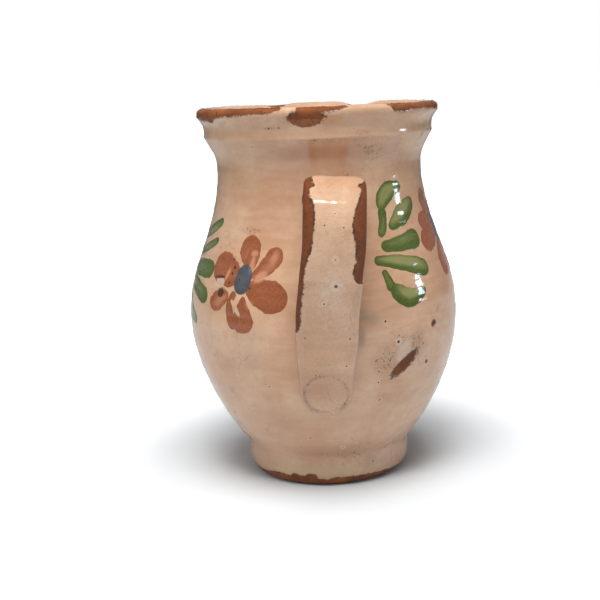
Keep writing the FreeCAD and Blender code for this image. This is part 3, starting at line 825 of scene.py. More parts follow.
@dataclass
class Wall:
    """The thrown wall as sizes: stations of (radius, height) up the outside and down the inside, the rounded lip
    between them, the pulled spout, and the wear on its glaze."""

    outside: tuple = (
        (37.6, 0.0), (40.8, 1.4), (43.5, 5.4), (43.9, 11.5), (45.4, 18.0), (49.4, 24.0), (60.3, 42.0), (68.0, 61.0),
        (72.1, 85.0), (69.8, 108.0), (61.8, 132.0), (56.4, 151.0), (54.6, 165.0), (56.1, 176.5), (60.2, 184.6),
        (61.0, 189.0), (61.9, 192.8),
    )
    inside: tuple = (
        (59.0, 195.2), (57.3, 188.0), (52.2, 176.5), (49.6, 165.0), (51.4, 151.0), (56.8, 132.0), (64.8, 108.0),
        (67.1, 85.0), (62.9, 61.0), (54.8, 42.0), (42.6, 25.0), (29.0, 13.4), (17.0, 10.0),
    )
    lip_centre: tuple = (62.1, 197.4)
    lip_round: float = 2.6
    lip_starts: float = -40.0
    lip_ends: float = 165.0
    glaze: float = 0.5
    spout_reach: float = 12.0
    spout_spread: float = 14.0
    spout_starts: float = 170.0
    spout_top: float = 200.0
    pinch_angle: float = 24.0
    pinch_spread: float = 8.0
    pinch_depth: float = 3.0
    pinch_dip: float = 2.4
    light_pinch: float = 0.15  # the second pinch's dip, as a share of the first one's
    rim_wear: tuple = (
        (-180, 196.6), (-150, 197.6), (-120, 196.4), (-95, 197.2), (-78, 195.6), (-70, 194.4), (-62, 194.6),
        (-58, 194.2), (-55, 196.0), (-45, 196.9), (-30, 197.3), (-20, 198.2), (-16.5, 199.2), (-15.5, 199.95),
        (-9.6, 199.95), (-8.6, 198.0), (2.0, 197.6), (3.0, 198.3), (8.0, 198.2), (13.0, 199.0), (15.0, 199.95),
        (31.0, 199.95), (34.0, 199.0), (35.0, 197.0), (40.0, 196.9), (50.0, 197.6), (66.0, 197.2), (80.0, 196.2),
        (110.0, 197.4), (140.0, 196.8), (158.0, 198.4), (170.0, 196.2),
    )
    foot_wear: tuple = (
        (-180, 5.5), (-130, 6.8), (-90, 4.2), (-66, 4.6), (-52, 4.8), (-49, 5.6), (-42, 5.9), (-37, 6.2),
        (-33, 5.8), (-29, 5.6), (-27, 7.0), (-24, 7.1), (-21, 6.0), (-17, 6.3), (-14, 7.3), (-10, 7.2),
        (-8.5, 4.6), (-2, 4.3), (2, 5.4),
        (20, 5.3), (32, 4.8), (44, 4.2), (70, 3.8), (110, 5.6), (150, 4.9),
    )
    flakes: tuple = (
        Flake(-5.3, 195.1, 9.2, 4.1, 0.0, 1.5),
        Flake(34.0, 70.2, 8.8, 3.0, 37.0),
        Flake(50.2, 88.0, 1.6, 1.6),
        Flake(-48.2, 108.1, 2.6, 2.0, 10.0),
        Flake(-156.0, 186.0, 3.2, 1.4, 70.0),
        Flake(128.0, 47.0, 4.4, 1.8, -30.0),
        Flake(203.0, 64.0, 2.2, 1.4, 15.0),
    )

    def lip_point(self, degrees: Points) -> Points:
        """Points of the rounded lip: its centre plus its radius at an angle, with 0 pointing outwards."""
        turn = np.radians(degrees)
        return np.stack([np.cos(turn), np.sin(turn)], axis=-1) * self.lip_round + self.lip_centre

    def outer_section(self, top: float, count: int, lip_count: int) -> Points:
        """Half section up the outside: the smooth curve through the stations, then the lip's arc.

        Args:
            top: The angle round the lip where it ends.
            count: Points up the wall.
            lip_count: Points round the lip.

        Returns:
            Rows of (radius, height).
        """
        wall = even_curve(np.vstack([self.outside, self.lip_point(np.array([self.lip_starts]))]), count)
        return np.vstack([wall, self.lip_point(np.linspace(self.lip_starts, top, lip_count + 1)[1:])])

    def inner_section(self, top: float, count: int, lip_count: int) -> Points:
        """Half section down the inside: the lip's arc from an angle, then the smooth curve to the floor's middle.

        Args:
            top: The angle round the lip where it starts.
            count: Points down the wall.
            lip_count: Points round the lip.

        Returns:
            Rows of (radius, height).
        """
        arc = self.lip_point(np.linspace(top, self.lip_ends, lip_count))
        wall = even_curve(np.vstack([self.lip_point(np.array([self.lip_ends])), self.inside]), count)[1:]
        edge, level = self.inside[-1]
        inward = np.linspace(edge, 0, 12)[1:]
        return np.vstack([arc, wall, np.stack([inward, np.full_like(inward, level)], axis=1)])

    def base_section(self) -> Points:
        """The flat underside, from its middle out to the foot's edge."""
        return np.stack([np.linspace(0, self.outside[0][0], 16), np.zeros(16)], axis=1)

    def spout_shift(self, azimuth: Points, height: Points) -> tuple[Points, Points]:
        """How far the pulled lip moves the wall out and up: a bell curve out at the middle less two narrower ones
        at the pinches, growing as the square of the height above the throat.

        Args:
            azimuth: Degrees from the handle.
            height: Millimetres.

        Returns:
            Outward and upward shifts.
        """
        grown = np.clip((height - self.spout_starts) / (self.spout_top - self.spout_starts), 0, 1) ** 2
        aside = (azimuth % 360) - 180
        near, far = (bell(side * aside, self.pinch_angle, self.pinch_spread) for side in (-1, 1))
        outward = self.spout_reach * bell(aside, 0.0, self.spout_spread) - self.pinch_depth * (near + far)
        return grown * outward, -grown * self.pinch_dip * (near + self.light_pinch * far)

    def unevenness(self, azimuth: Points, height: Points) -> Points:
        """What the potter's hands left: slightly oval walls, a slow waver and shallow finger rings, which are all
        sines, a fuller left side, and the collar's ridge and groove, which are bell curves up the height.

        Args:
            azimuth: Degrees from the handle.
            height: Millimetres.

        Returns:
            Outward shifts, in millimetres.
        """
        turn = np.radians(azimuth)
        above_foot = np.clip(height / 20, 0, 1)
        oval = 0.22 * np.cos(2 * turn - 0.9) + 0.12 * np.cos(3 * turn + height / 37)
        rings = 0.07 * np.sin(height / 1.9 + 0.7 * np.sin(turn) + 2 * np.sin(height / 23))
        fuller = 1.25 * bell(height, 88, 36) * np.clip(-np.sin(turn), 0, 1) ** 2
        collar = 0.6 * bell(height, 185.4, 1.15) - 0.35 * bell(height, 189.5, 2.6)
        fine = 0.05 * np.sin(height / 0.83 + 1.3 * np.cos(turn))
        return above_foot * (oval + rings + fine + fuller) + collar

    def surface(self, section: Points, azimuth: Points, lift: Points) -> Points:
        """Points of the wall: a half section carried round the axis. Each point stands lift off the clay along the
        section's normal, then takes the hand's unevenness and the spout's shift.

        Args:
            section: Rows of (radius, height).
            azimuth: Degrees, one for each column.
            lift: A number or an array (rows, columns).

        Returns:
            Points (rows, columns, 3).
        """
        along = directions(section)
        radius, height = section[:, :1], section[:, 1:]
        angle = azimuth[None, :]
        reach = radius + along[:, 1:] * lift
        level = height - along[:, :1] * lift
        outward, up = self.spout_shift(angle, height + 0 * angle)
        uneven = self.unevenness(angle, height) * np.clip(radius / 20, 0, 1)
        reach = reach + (outward + uneven) * np.clip(radius / 30, 0, 1)
        turn = np.radians(angle)
        return np.stack([reach * np.sin(turn), -reach * np.cos(turn), level + up + 0 * turn], axis=-1)

    def outside_spots(self, azimuth: Points, height: Points, lift: Points) -> Points:
        """Points on or off the outer face: the radius and normal found at each height, then turned to its azimuth.

        Args:
            azimuth: Degrees from the handle.
            height: Millimetres, in azimuth's shape.
            lift: How far off the clay each point stands, in the same shape.

        Returns:
            Points, with one more axis for x, y and z.
        """
        section = self.fine_section()
        along = directions(section)
        radius, out, up = (np.interp(height, section[:, 1], v) for v in (section[:, 0], along[:, 1], -along[:, 0]))
        outward, raised = self.spout_shift(azimuth, height)
        reach = radius + out * lift + outward + self.unevenness(azimuth, height)
        turn = np.radians(azimuth)
        return np.stack([reach * np.sin(turn), -reach * np.cos(turn), height + up * lift + raised], axis=-1)

    def fine_section(self) -> Points:
        """The outer face's half section in fine steps, up to the lip's outermost point."""
        return self.outer_section(0, 700, 30)

    def radius_at(self, height: float) -> float:
        """The outer face's radius at a height."""
        section = self.fine_section()
        return float(np.interp(height, section[:, 1], section[:, 0]))

    def mark_axes(self, azimuth: Points, height: Points, mark: Union[Flake, "Blemish"]) -> tuple[Points, Points]:
        """Distances from the middle of a mark on the wall, along its tilted axis and across it: arc lengths and
        heights, turned by the tilt.

        Args:
            azimuth: Degrees from the handle.
            height: Millimetres.
            mark: The mark, with its own azimuth, height and tilt.

        Returns:
            Distances along and across the mark, in millimetres.
        """
        swing = (azimuth - mark.azimuth + 180) % 360 - 180
        x, z = np.radians(swing) * self.radius_at(mark.height), height - mark.height
        tilt = math.radians(mark.tilt)
        return x * math.cos(tilt) + z * math.sin(tilt), z * math.cos(tilt) - x * math.sin(tilt)

    def pits(self, marks: tuple) -> tuple[Pit, ...]:
        """Burst bubbles on the glaze.

        Args:
            marks: Rows of (azimuth, height, radius, reach, haze).

        Returns:
            One pit for each row.
        """
        table = np.array(marks)
        spots = self.outside_spots(table[:, 0], table[:, 1], np.full(len(table), self.glaze))
        return tuple(
            Pit(tuple(float(x) for x in spot), *(float(x) for x in row[2:])) for spot, row in zip(spots, table)
        )

    def bare_depth(self, section: Points, azimuth: Points) -> Points:
        """How far inside a bare patch each point of the outer glaze is, in millimetres, and negative where it is
        glazed: above the rim's wear line, below the foot's, or within a flake.

        Args:
            section: Rows of (radius, height), from the foot up to the lip.
            azimuth: Degrees, one for each column.

        Returns:
            An array (rows, columns).
        """
        climb = run_along(section)[:, None]
        angle, height = azimuth[None, :], section[:, 1:]
        rim = azimuth_line(azimuth, self.rim_wear) + 0.6 * ripple(azimuth, 0 * azimuth, 1.7)
        line = np.interp(rim, section[:, 1], climb[:, 0])
        line = line + np.clip((rim - 199.3) * 20, 0, 12)
        foot = azimuth_line(azimuth, self.foot_wear) + 0.45 * ripple(azimuth, 0 * azimuth, 4.1)
        depth = np.maximum(climb - line, foot - height)
        for flake in self.flakes:
            u, v = self.mark_axes(angle, height, flake)
            powers = np.abs(u / flake.half_length) ** flake.round + np.abs(v / flake.half_width) ** flake.round
            spread = powers ** (1 / flake.round)
            depth = np.maximum(depth, (1 - spread) * min(flake.half_length, flake.half_width))
        return np.clip(depth, -DEEPEST, DEEPEST)


@dataclass(frozen=True)
class Blemish:
    """A soft mark on the glaze or the slip, bell-shaped with half sizes in millimetres. Its kind is the name of the
    mesh value that it raises."""

    kind: str
    azimuth: float
    height: float
    half_length: float
    half_width: float
    strength: float = 1.0
    tilt: float = 0.0


BLEMISHES = (
    Blemish("freckles", 25.0, 74.0, 6.5, 8.0, 1.0),
    Blemish("freckles", 40.0, 81.0, 5.0, 7.0, 0.95, 30.0),
    Blemish("freckles", 31.0, 84.0, 5.0, 4.0, 0.8),
    Blemish("freckles", 28.0, 178.5, 6.0, 3.0, 0.7),
    Blemish("freckles", 62.0, 184.0, 2.0, 2.0, 0.9),
    Blemish("freckles", -43.0, 121.0, 3.0, 5.0, 0.5),
    Blemish("scrape", 33.2, 77.5, 4.5, 7.5, 1.0, -35.0),
    Blemish("scrape", -50.0, 112.5, 4.0, 3.0, 1.0),
    # Painted shade in darker orange-brown on the lower belly below the handle.
    Blemish("scorch_and_shade", 4.0, 21.5, 24.0, 5.0, 0.75),
    # Painted dark reflection in the neck under the collar, above the handle.
    Blemish("scorch_and_shade", 2.0, 178.5, 26.0, 4.5, 0.6),
    Blemish("scorch_and_shade", -28.0, 40.0, 14.0, 12.0, 0.3),
    Blemish("scorch_and_shade", 60.0, 120.0, 10.0, 20.0, 0.35),
    Blemish("scorch_and_shade", -100.0, 150.0, 20.0, 14.0, 0.4),
    Blemish("scorch_and_shade", 170.0, 30.0, 30.0, 7.0, 0.6),
    Blemish("straw", -8.0, 9.0, 34.0, 4.5, 0.8),
    Blemish("straw", -50.0, 178.0, 16.0, 18.0, 0.35),
    Blemish("straw", 150.0, 10.0, 30.0, 4.0, 0.6),
    Blemish("soot", 35.5, 71.5, 8.0, 5.0, 0.95, 37.0),
    Blemish("soot", -5.3, 196.0, 14.0, 6.0, 0.35),
    Blemish("soot", 50.2, 88.0, 3.0, 3.0, 0.9),
    Blemish("soot", -48.2, 108.1, 4.0, 4.0, 0.9),
    Blemish("scrape", -66.0, 192.6, 8.0, 2.0, 0.8),
    Blemish("scrape", -50.0, 195.0, 14.0, 1.4, 0.5),
    Blemish("scrape", 60.0, 193.0, 7.0, 2.4, 0.7),
    # The next two are partly grey smears and partly painted shade on the belly beside the handle's right edge.
    Blemish("stain_and_shade", 17.0, 97.0, 4.0, 7.0, 0.8, 70.0),
    Blemish("stain_and_shade", 14.0, 88.0, 2.2, 6.0, 0.9),
    Blemish("freckles", -37.0, 139.2, 8.0, 1.5, 1.0, -3.0),
    Blemish("freckles", -22.0, 190.6, 6.0, 0.8, 0.7),
    Blemish("freckles", -64.0, 191.5, 5.0, 1.2, 0.8),
    Blemish("freckles", 30.0, 176.0, 9.0, 3.0, 0.5, -10.0),
    Blemish("freckles", 10.0, 184.0, 30.0, 1.0, 0.6),
    Blemish("freckles", 48.0, 196.0, 16.0, 0.8, 0.8),
    Blemish("freckles", 8.0, 20.0, 16.0, 2.0, 0.6),
    Blemish("freckles", 42.0, 20.0, 12.0, 1.6, 0.6, 12.0),
    Blemish("freckles", -34.0, 88.0, 10.0, 5.0, 0.35),
    Blemish("stain_and_shade", -30.0, 90.0, 9.0, 5.0, 0.28),
    Blemish("stain_and_shade", -33.0, 77.0, 9.0, 8.0, 0.3),
    Blemish("stain_and_shade", -50.0, 193.0, 5.0, 1.0, 0.5, 20.0),
    Blemish("stain_and_shade", -23.0, 190.6, 2.5, 0.6, 0.9),
    Blemish("stain_and_shade", 36.0, 76.0, 12.0, 10.0, 0.25),
    Blemish("stain_and_shade", 28.0, 12.0, 4.0, 5.0, 0.5),
    Blemish("stain_and_shade", 0.0, 6.5, 60.0, 1.6, 0.5),
    Blemish("stain_and_shade", 70.0, 18.0, 18.0, 2.0, 0.4),
    Blemish("stain_and_shade", 150.0, 60.0, 14.0, 12.0, 0.35),
    Blemish("freckles", 205.0, 90.0, 9.0, 8.0, 0.7),
    Blemish("scrape", -120.0, 70.0, 9.0, 5.0, 0.8, 25.0),
    Blemish("stain_and_shade", -140.0, 170.0, 12.0, 8.0, 0.3),
)

# Burst bubbles: (azimuth, height, radius, how many radii the ring reaches, how strongly it shows).
WALL_PITS = (
    (47.0, 68.5, 1.25, 1.8, 0.3), (24.5, 94.0, 0.6, 2.0, 0.2), (24.6, 90.7, 0.35, 2.0, 0.4),
    (22.0, 62.5, 0.5, 2.5, 0.4),
    (62.0, 183.5, 0.6, 2.0, 0.3), (-23.0, 190.5, 0.5, 1.8, 0.2), (-18.0, 190.7, 0.45, 1.8, 0.2),
    (30.3, 82.7, 0.8, 2.8, 0.45), (-56.0, 41.0, 0.8, 1.8, 0.2), (-10.0, 31.5, 0.5, 2.0, 0.3),
    (8.0, 24.5, 0.35, 4.5, 0.5),
    (-17.0, 25.0, 0.35, 2.0, 0.3), (31.0, 12.0, 0.5, 2.0, 0.3), (-25.0, 62.0, 0.5, 2.6, 0.4),
)
SLIP_PITS = (
    (-42.0, 121.0, 0.9, 1.3, 0.0), (-42.8, 118.0, 0.8, 1.3, 0.0), (-43.6, 113.4, 0.6, 1.3, 0.0),
    (-43.4, 125.0, 0.6, 1.3, 0.0), (-32.2, 111.6, 0.7, 1.3, 0.0), (-38.0, 115.5, 0.6, 1.3, 0.1),
)
SLIP_MARKS = (
    Blemish("lost", -49.6, 112.8, 3.6, 3.0, 1.0, 20.0),
    Blemish("lost", -38.6, 101.5, 1.3, 5.4, 0.9, 38.0),
    Blemish("thin", -32.6, 122.5, 1.4, 4.5, 1.3, -10.0),
    Blemish("thin", -27.5, 117.5, 4.2, 2.2, 1.3, 35.0),
    Blemish("thin", -32.0, 128.5, 2.2, 1.6, 1.0),
    Blemish("thin", -45.5, 117.5, 1.0, 3.6, 1.1, -20.0),
    Blemish("thin", -22.0, 126.0, 2.0, 4.5, 0.8, -20.0),
    Blemish("thin", -31.5, 103.5, 2.5, 2.0, 0.9),
    Blemish("chipped", -50.3, 115.7, 4.4, 0.7, 1.0, 4.0),
    Blemish("chipped", -48.0, 108.0, 2.4, 2.0, 1.0, 15.0),
    Blemish("lost", -54.2, 106.4, 1.2, 0.9, 1.0),
    Blemish("chipped", 190.0, 131.0, 2.0, 1.2, 1.0, 30.0),
    Blemish("lost", 206.0, 114.0, 2.4, 1.3, 1.0, -20.0),
)


@dataclass
class Pot:
    """The thrown pot: its clay body and the two glaze coats. crest is the angle round the lip where the coats meet,
    sink is how far a bare patch dips below the clay, and backing is how far a coat's back stands off it."""

    wall: Wall
    finish: WornGlaze
    lining: WornGlaze
    clay: BareClay
    columns: int = 460
    rows: int = 172
    lip_rows: int = 14
    crest: float = 84.0
    sink: float = 0.12
    backing: float = 0.45
    fade: float = 0.9  # how wide the slope into a bare patch is

    def clay_mesh(self) -> bpy.types.Object:
        """The clay body: base, outside, lip, inside and floor as one closed half section carried round.

        Returns:
            The body.
        """
        wall = self.wall
        outer = wall.outer_section(self.crest, 110, 12)
        inner = wall.inner_section(self.crest, 90, 8)[1:]
        section = np.vstack([wall.base_section()[:-1], outer, inner])
        azimuth = np.arange(240) * 1.5
        soot = {"soot": self.blemish("soot", section, azimuth)}
        points = wall.surface(section, azimuth, np.zeros((1, 1)))
        return make_mesh_object("clay_body_fired", [Grid(points, values=soot)])

    def blemish(self, kind: str, section: Points, azimuth: Points) -> Points:
        """The strongest soft mark of one kind at each point: bell curves round each mark's own ellipse.

        Args:
            kind: Which marks.
            section: Rows of (radius, height).
            azimuth: Degrees, one for each column.

        Returns:
            An array (rows, columns) from 0 to 1.
        """
        angle, height = azimuth[None, :], section[:, 1:]
        total = np.zeros((len(section), len(azimuth)))
        for mark in BLEMISHES:
            if mark.kind != kind:
                continue
            u, v = self.wall.mark_axes(angle, height, mark)
            spread = (u / mark.half_length) ** 2 + (v / mark.half_width) ** 2
            total = np.maximum(total, mark.strength * np.exp(-(spread**1.5)))
        return total

    def shell(self, name: str, section: Points, bare: Points, azimuth: Points) -> bpy.types.Object:
        """A glaze coat as a thin closed shell. Its face stands the glaze's thickness off the clay, and sinks just
        below it in bare patches; its back lies inside the clay.

        Args:
            name: The object's name.
            section: The coat's half section on the clay.
            bare: Depth into a bare patch at each point.
            azimuth: Degrees, one for each column.

        Returns:
            The coat.
        """
        wall = self.wall
        kept = eased(0.5 - bare / self.fade)
        face = wall.surface(section, azimuth, -self.sink + (wall.glaze + self.sink) * kept)
        back_rows = section[::-1][:: max(len(section) // 24, 1)]
        back = wall.surface(back_rows, azimuth, np.full((1, 1), self.backing))
        spare = np.full(back.shape[:2], 3.0)
        values = {"bare": np.vstack([bare, spare])}
        for kind in ("scrape", "stain_and_shade", "freckles", "scorch_and_shade", "straw", "soot"):
            values[kind] = np.vstack([self.blemish(kind, section, azimuth), 0 * spare])
        return make_mesh_object(name, [Grid(np.vstack([face, back]), close_rows=True, values=values)])

    def outer_coat(self) -> bpy.types.Object:
        """The outer coat, from just above the foot's edge to the crest of the lip.

        Returns:
            The coat.
        """
        section = self.wall.outer_section(self.crest, self.rows, self.lip_rows)[2:]
        azimuth = np.arange(self.columns) * 360 / self.columns
        return self.shell("outer_glaze_worn", section, self.wall.bare_depth(section, azimuth), azimuth)

    def inner_coat(self) -> bpy.types.Object:
        """The lining, from the crest of the lip down to the middle of the floor. It is worn along the crest, with a
        bell curve of further wear at each pinch of the spout.

        Returns:
            The lining.
        """
        section = self.wall.inner_section(self.crest, 120, 10)
        azimuth = np.arange(300) * 1.2
        climb = run_along(section)[:, None]
        worn = azimuth_line(azimuth, self.wall.rim_wear)
        reach = np.where(worn > 199.4, -3.0, 0.6 + 1.1 * ripple(azimuth, 0 * azimuth, 2.9))
        reach = reach + 2.2 * bell(azimuth, 158, 5) + 2.4 * bell(azimuth, 204, 6)
        bare = np.clip(reach[None, :] - climb, -DEEPEST, DEEPEST)
        return self.shell("inner_glaze_worn", section, bare, azimuth)

    def build(self) -> list[bpy.types.Object]:
        """Makes and dresses the body and both coats.

        Returns:
            The three pieces.
        """
        pieces = []
        for piece, node, finish, slot in (
            (self.clay_mesh(), "clay_body", self.clay.material(), Slot.TERRACOTTA),
            (self.outer_coat(), "outer_glaze", self.finish.material(), Slot.CREAM),
            (self.inner_coat(), "inner_glaze", self.lining.material(), Slot.CREAM),
        ):
            settle(piece, node, finish)
            pieces.append(piece)
        return pieces


def settle(piece: bpy.types.Object, node: str, finish: bpy.types.Material) -> None:
    """Dresses a piece, rides it on the pot, and lets it stand for its CAD node.

    Args:
        piece: The piece.
        node: The CAD node's name.
        finish: The piece's material.
    """
    piece.data.materials.append(finish)
    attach(piece, "root")
    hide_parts(node)
    LOG.info("%s stands for %s: %d faces", piece.name, node, len(piece.data.polygons))


# ------------------------------------------------------------------------------------------------ the handle
@dataclass
class Strap:
    """The pulled strap: stations of (out, up, width, thickness) from its root in the neck to its thumbed end."""

    clay: BareClay = BareClay(name="bare handle clay", dark=0.75)
    stations: tuple = (
        (50.6, 151.6, 33.0, 11.0), (53.6, 153.4, 32.0, 10.4), (61.2, 158.9, 30.4, 9.0), (71.5, 163.2, 30.0, 8.4),
        (82.0, 160.2, 30.0, 8.0), (88.8, 151.0, 30.0, 8.0), (91.0, 137.0, 30.0, 8.0), (88.6, 119.0, 30.0, 8.0),
        (83.0, 102.0, 30.2, 7.8), (77.4, 87.0, 29.6, 7.4), (73.4, 74.0, 27.4, 6.8), (70.3, 65.0, 26.0, 5.6),
        (67.3, 57.0, 25.2, 4.6), (64.0, 49.0, 24.0, 3.8),
    )
    lean: float = 4.2
    foot: float = 59.0
    end_round: float = 12.6
    glaze: float = 0.5
    sink: float = 0.15
    fade: float = 0.8
    thumb_height: float = 61.0
    thumb_half: tuple = (9.5, 8.2)
    thumb_depth: float = 2.2
    rows: int = 250
    columns: int = 130
    # How far the bare strips reach in from each side: (height, distance from the middle line to the glaze's edge).
    left_edge: tuple = (
        (200, 9.5), (166, 11.6), (164.3, 10.6), (163.2, 10.3), (162.2, 12.2), (159.5, 12.4), (156.5, 10.6), (152, 9.6),
        (146.7, 9.8), (140.5, 10.1), (135, 10.9), (131, 12.1), (123, 12.6), (115, 12.95), (106, 12.9), (98, 12.8),
        (94.5, 13.6), (92.8, 14.6), (91.6, 19), (60, 19),
    )
    right_edge: tuple = (
        (200, 14.6), (165.6, 14.2), (164.6, 11.3), (163.8, 11.2), (162.8, 12.5), (158.5, 11.6), (155, 10.2),
        (152, 9.3), (147, 8.5), (143.5, 9.2), (137.5, 10.0), (131, 11.0), (127.5, 10.4), (123.6, 10.2), (120.4, 12.2),
        (119.4, 13.0), (118.4, 19), (60, 19),
    )
    # Burst bubbles: (distance across, height, radius, how many radii the ring reaches, how strongly it shows).
    marks: tuple = (
        (2.7, 117.6, 0.85, 3.4, 0.35), (-4.9, 146.3, 0.42, 2.0, 0.2), (0.0, 152.0, 0.35, 3.0, 0.5),
        (-1.9, 108.6, 0.5, 2.6, 0.4), (-5.2, 70.0, 0.5, 2.0, 0.3), (-2.9, 69.0, 0.4, 2.0, 0.3),
        (4.2, 146.0, 0.4, 2.0, 0.2), (0.9, 130.6, 0.35, 6.0, 0.35), (-10.5, 90.0, 0.45, 1.8, 0.2),
        (11.2, 90.5, 0.5, 1.8, 0.2), (1.6, 76.0, 0.3, 2.0, 0.3), (10.0, 76.0, 0.4, 2.0, 0.2),
    )
    # How far the middle line wanders to one side: (height, distance).
    sway: tuple = (
        (40, -0.4), (59, -0.5), (66, -0.8), (78, -1.3), (90, -1.5), (98, -1.9), (115, -1.3), (123, -0.85), (135, -0.1),
        (150, -0.3), (165, -0.4), (200, -0.4),
    )

    def spine(self) -> tuple[Points, Points, Points, Points, Points]:
        """The strap's middle line and its sizes along it.

        Returns:
            out, up, half width, half thickness, and the middle line's own unit normals (rows, 2).
        """
        line = even_curve(np.array(self.stations), self.rows)
        along = directions(line)
        normal = np.stack([-along[:, 1], along[:, 0]], axis=1)
        below = np.clip((self.foot - line[:, 1]) / self.end_round, 0, 1)
        rounding = np.sqrt(np.clip(1 - below**2, 0, 1))
        start = np.clip(np.arange(self.rows) / 2.0, 0, 1)
        half_width = line[:, 2] / 2 * rounding * np.sqrt(start)
        half_thick = line[:, 3] / 2 * np.where(rounding > 0, rounding**0.35, 0) * np.sqrt(start)
        return line[:, 0], line[:, 1], half_width, half_thick, normal

    def section(self) -> tuple[Points, Points]:
        """Unit outline of the strap, evenly spaced: a superellipse, |x|^a + |y|^b = 1, flat in front and behind with
        round sides. It starts in the middle of the back.

        Returns:
            Across and outward parts of the outline, each from -1 to 1.
        """
        turn = np.linspace(-math.pi / 2, 1.5 * math.pi, 4001)
        x = np.sign(np.cos(turn)) * np.abs(np.cos(turn)) ** (2 / 6.0)
        y = np.sign(np.sin(turn)) * np.abs(np.sin(turn)) ** (2 / 2.3)
        run = np.concatenate([[0.0], np.cumsum(np.hypot(np.diff(x) * 15, np.diff(y) * 4))])
        even = np.linspace(0, run[-1], self.columns + 1)[:-1]
        return np.interp(even, run, x), np.interp(even, run, y)

    def end_ring(self, wide: Points, level: Points) -> Points:
        """Distance from the middle of the thumbed end, as a share of its radius."""
        return np.hypot(wide / self.end_round, (level - self.foot) / self.end_round)

    def surface(self, lift: Points) -> tuple[Points, Points, Points]:
        """The strap's face: the outline, scaled by the sizes, carried along the middle line, pressed by a thumb at
        its end and leaned to one side.

        Args:
            lift: How far each point stands off the clay, a number or (rows, columns).

        Returns:
            Points (rows, columns, 3), distances across the strap, and heights.
        """
        out, up, half_width, half_thick, normal = self.spine()
        x, y = self.section()
        wide = half_width[:, None] * x[None, :]
        high = half_thick[:, None] * y[None, :]
        steep_x = np.sign(x) * np.abs(x) ** 5
        steep_y = y * 1.6
        size = np.hypot(steep_x, steep_y)
        wide = wide + lift * (steep_x / size)[None, :]
        high = high + lift * (steep_y / size)[None, :]
        front = np.clip(y, 0, 1)[None, :] ** 0.5
        level = up[:, None]
        centre = np.hypot(wide / self.thumb_half[0], (level - self.thumb_height) / self.thumb_half[1])
        press = -self.thumb_depth * np.exp(-(centre**3.2))
        bead = bell(self.end_ring(wide, level), 0.9, 0.1) * np.clip((self.foot + 4 - level) / 8, 0, 1)
        fingers = 0.12 * np.sin(level / 3.7 + wide / 9) + 0.18 * np.sin(level / 11.0 + 1.0) * np.cos(wide / 6.0)
        crown = -0.35 * (1 - (wide / 15) ** 2) * np.clip((level - 95) / 30, 0, 1)
        high = high + front * (press + bead + fingers + crown * 0.4)
        place_out = out[:, None] + normal[:, :1] * high
        place_up = up[:, None] + normal[:, 1:] * high
        tilt = math.radians(self.lean)
        rise = place_up - self.foot
        levels, shifts = np.array(self.sway).T
        aside = wide + smooth_through(levels, shifts[:, None], up)
        points = np.stack(
            [
                aside * math.cos(tilt) + rise * math.sin(tilt),
                -place_out + 0 * wide,
                self.foot + rise * math.cos(tilt) - wide * math.sin(tilt),
            ],
            axis=-1,
        )
        return points, wide, place_up

    def bare_depth(self, wide: Points, level: Points, outer: Points) -> Points:
        """Depth into the worn strips along both sides: distance past each strip's ragged inner edge.

        Args:
            wide: Distance across the strap.
            level: Height.
            outer: How far round to the front each point is, from -1 at the back to 1 in front.

        Returns:
            Millimetres, negative where the glaze is whole.
        """
        depth = np.full(wide.shape, -DEEPEST)
        for side, edge in ((-1, self.left_edge), (1, self.right_edge)):
            heights, reaches = np.array(edge[::-1]).T
            limit = np.interp(level, heights, reaches) + 0.35 * ripple(level * 9, level, 1.0 + side)
            limit = limit + np.clip(-outer, 0, 1) * 3.0
            depth = np.maximum(depth, side * wide - limit)
        return np.clip(depth, -DEEPEST, DEEPEST)

    def build(self) -> list[bpy.types.Object]:
        """Makes and dresses the clay strap and its coat.

        Returns:
            The two pieces.
        """
        bare_points, wide, level = self.surface(np.zeros((1, 1)))
        clay = make_mesh_object("clay_handle_fired", [Grid(bare_points)])
        settle(clay, "clay_handle", self.clay.material())
        _, y = self.section()
        bare = self.bare_depth(wide, level, y[None, :] + 0 * wide)
        points, _, _ = self.surface(-self.sink + (self.glaze + self.sink) * eased(0.5 - bare / self.fade))
        # Painted shade: a grey ring in the crease round the thumbed end, which also gathers extra dark specks.
        crease_shade = bell(self.end_ring(wide, level), 0.86, 0.07)
        low = np.clip((72 - level) / 4, 0, 1) * np.clip((y[None, :] + 0.2) * 4, 0, 1)
        patch = 0.5 + 0.5 * np.sin(wide / 2.3 + level / 3.1)
        values = {
            "bare": bare,
            "stain_and_shade": 0.95 * crease_shade * low * patch,
            "scrape": 0.55 * bell(level, 115, 20) * bell(wide, 1, 9),
            "freckles": 0.24 + 0.7 * crease_shade * low,
            "scorch_and_shade": 0.35 * bell(level, 60, 10),
        }
        front = np.where(y[None, :] > 0.3, 0, 1000.0)
        pits = []
        for across, height, *sizes in self.marks:
            nearest = np.argmin(np.hypot(wide - across, level - height) + front)
            pits.append(Pit(tuple(float(x) for x in points.reshape(-1, 3)[nearest]), *sizes))
        finish = WornGlaze(name="worn handle glaze", dark_clay=0.75, edge=1.0, pitted=0.75, pits=tuple(pits))
        coat = make_mesh_object("handle_glaze_worn", [Grid(points, values=values)])
        settle(coat, "handle_glaze", finish.material())
        return [clay, coat]


# ------------------------------------------------------------------------------------------------ brushed slip
@dataclass(frozen=True)
class Stroke:
    """One pull of the brush in a motif's flat drawing, in millimetres across and up: where it lands, where it bends
    towards, where it ends, its half widths near those places, how thin the slip is along its middle, and how far to
    one side that thin streak lies."""

    start: tuple[float, float]
    bend: tuple[float, float]
    end: tuple[float, float]
    halves: tuple[float, float, float]
    thin: float = 0.3
    side: float = 0.0


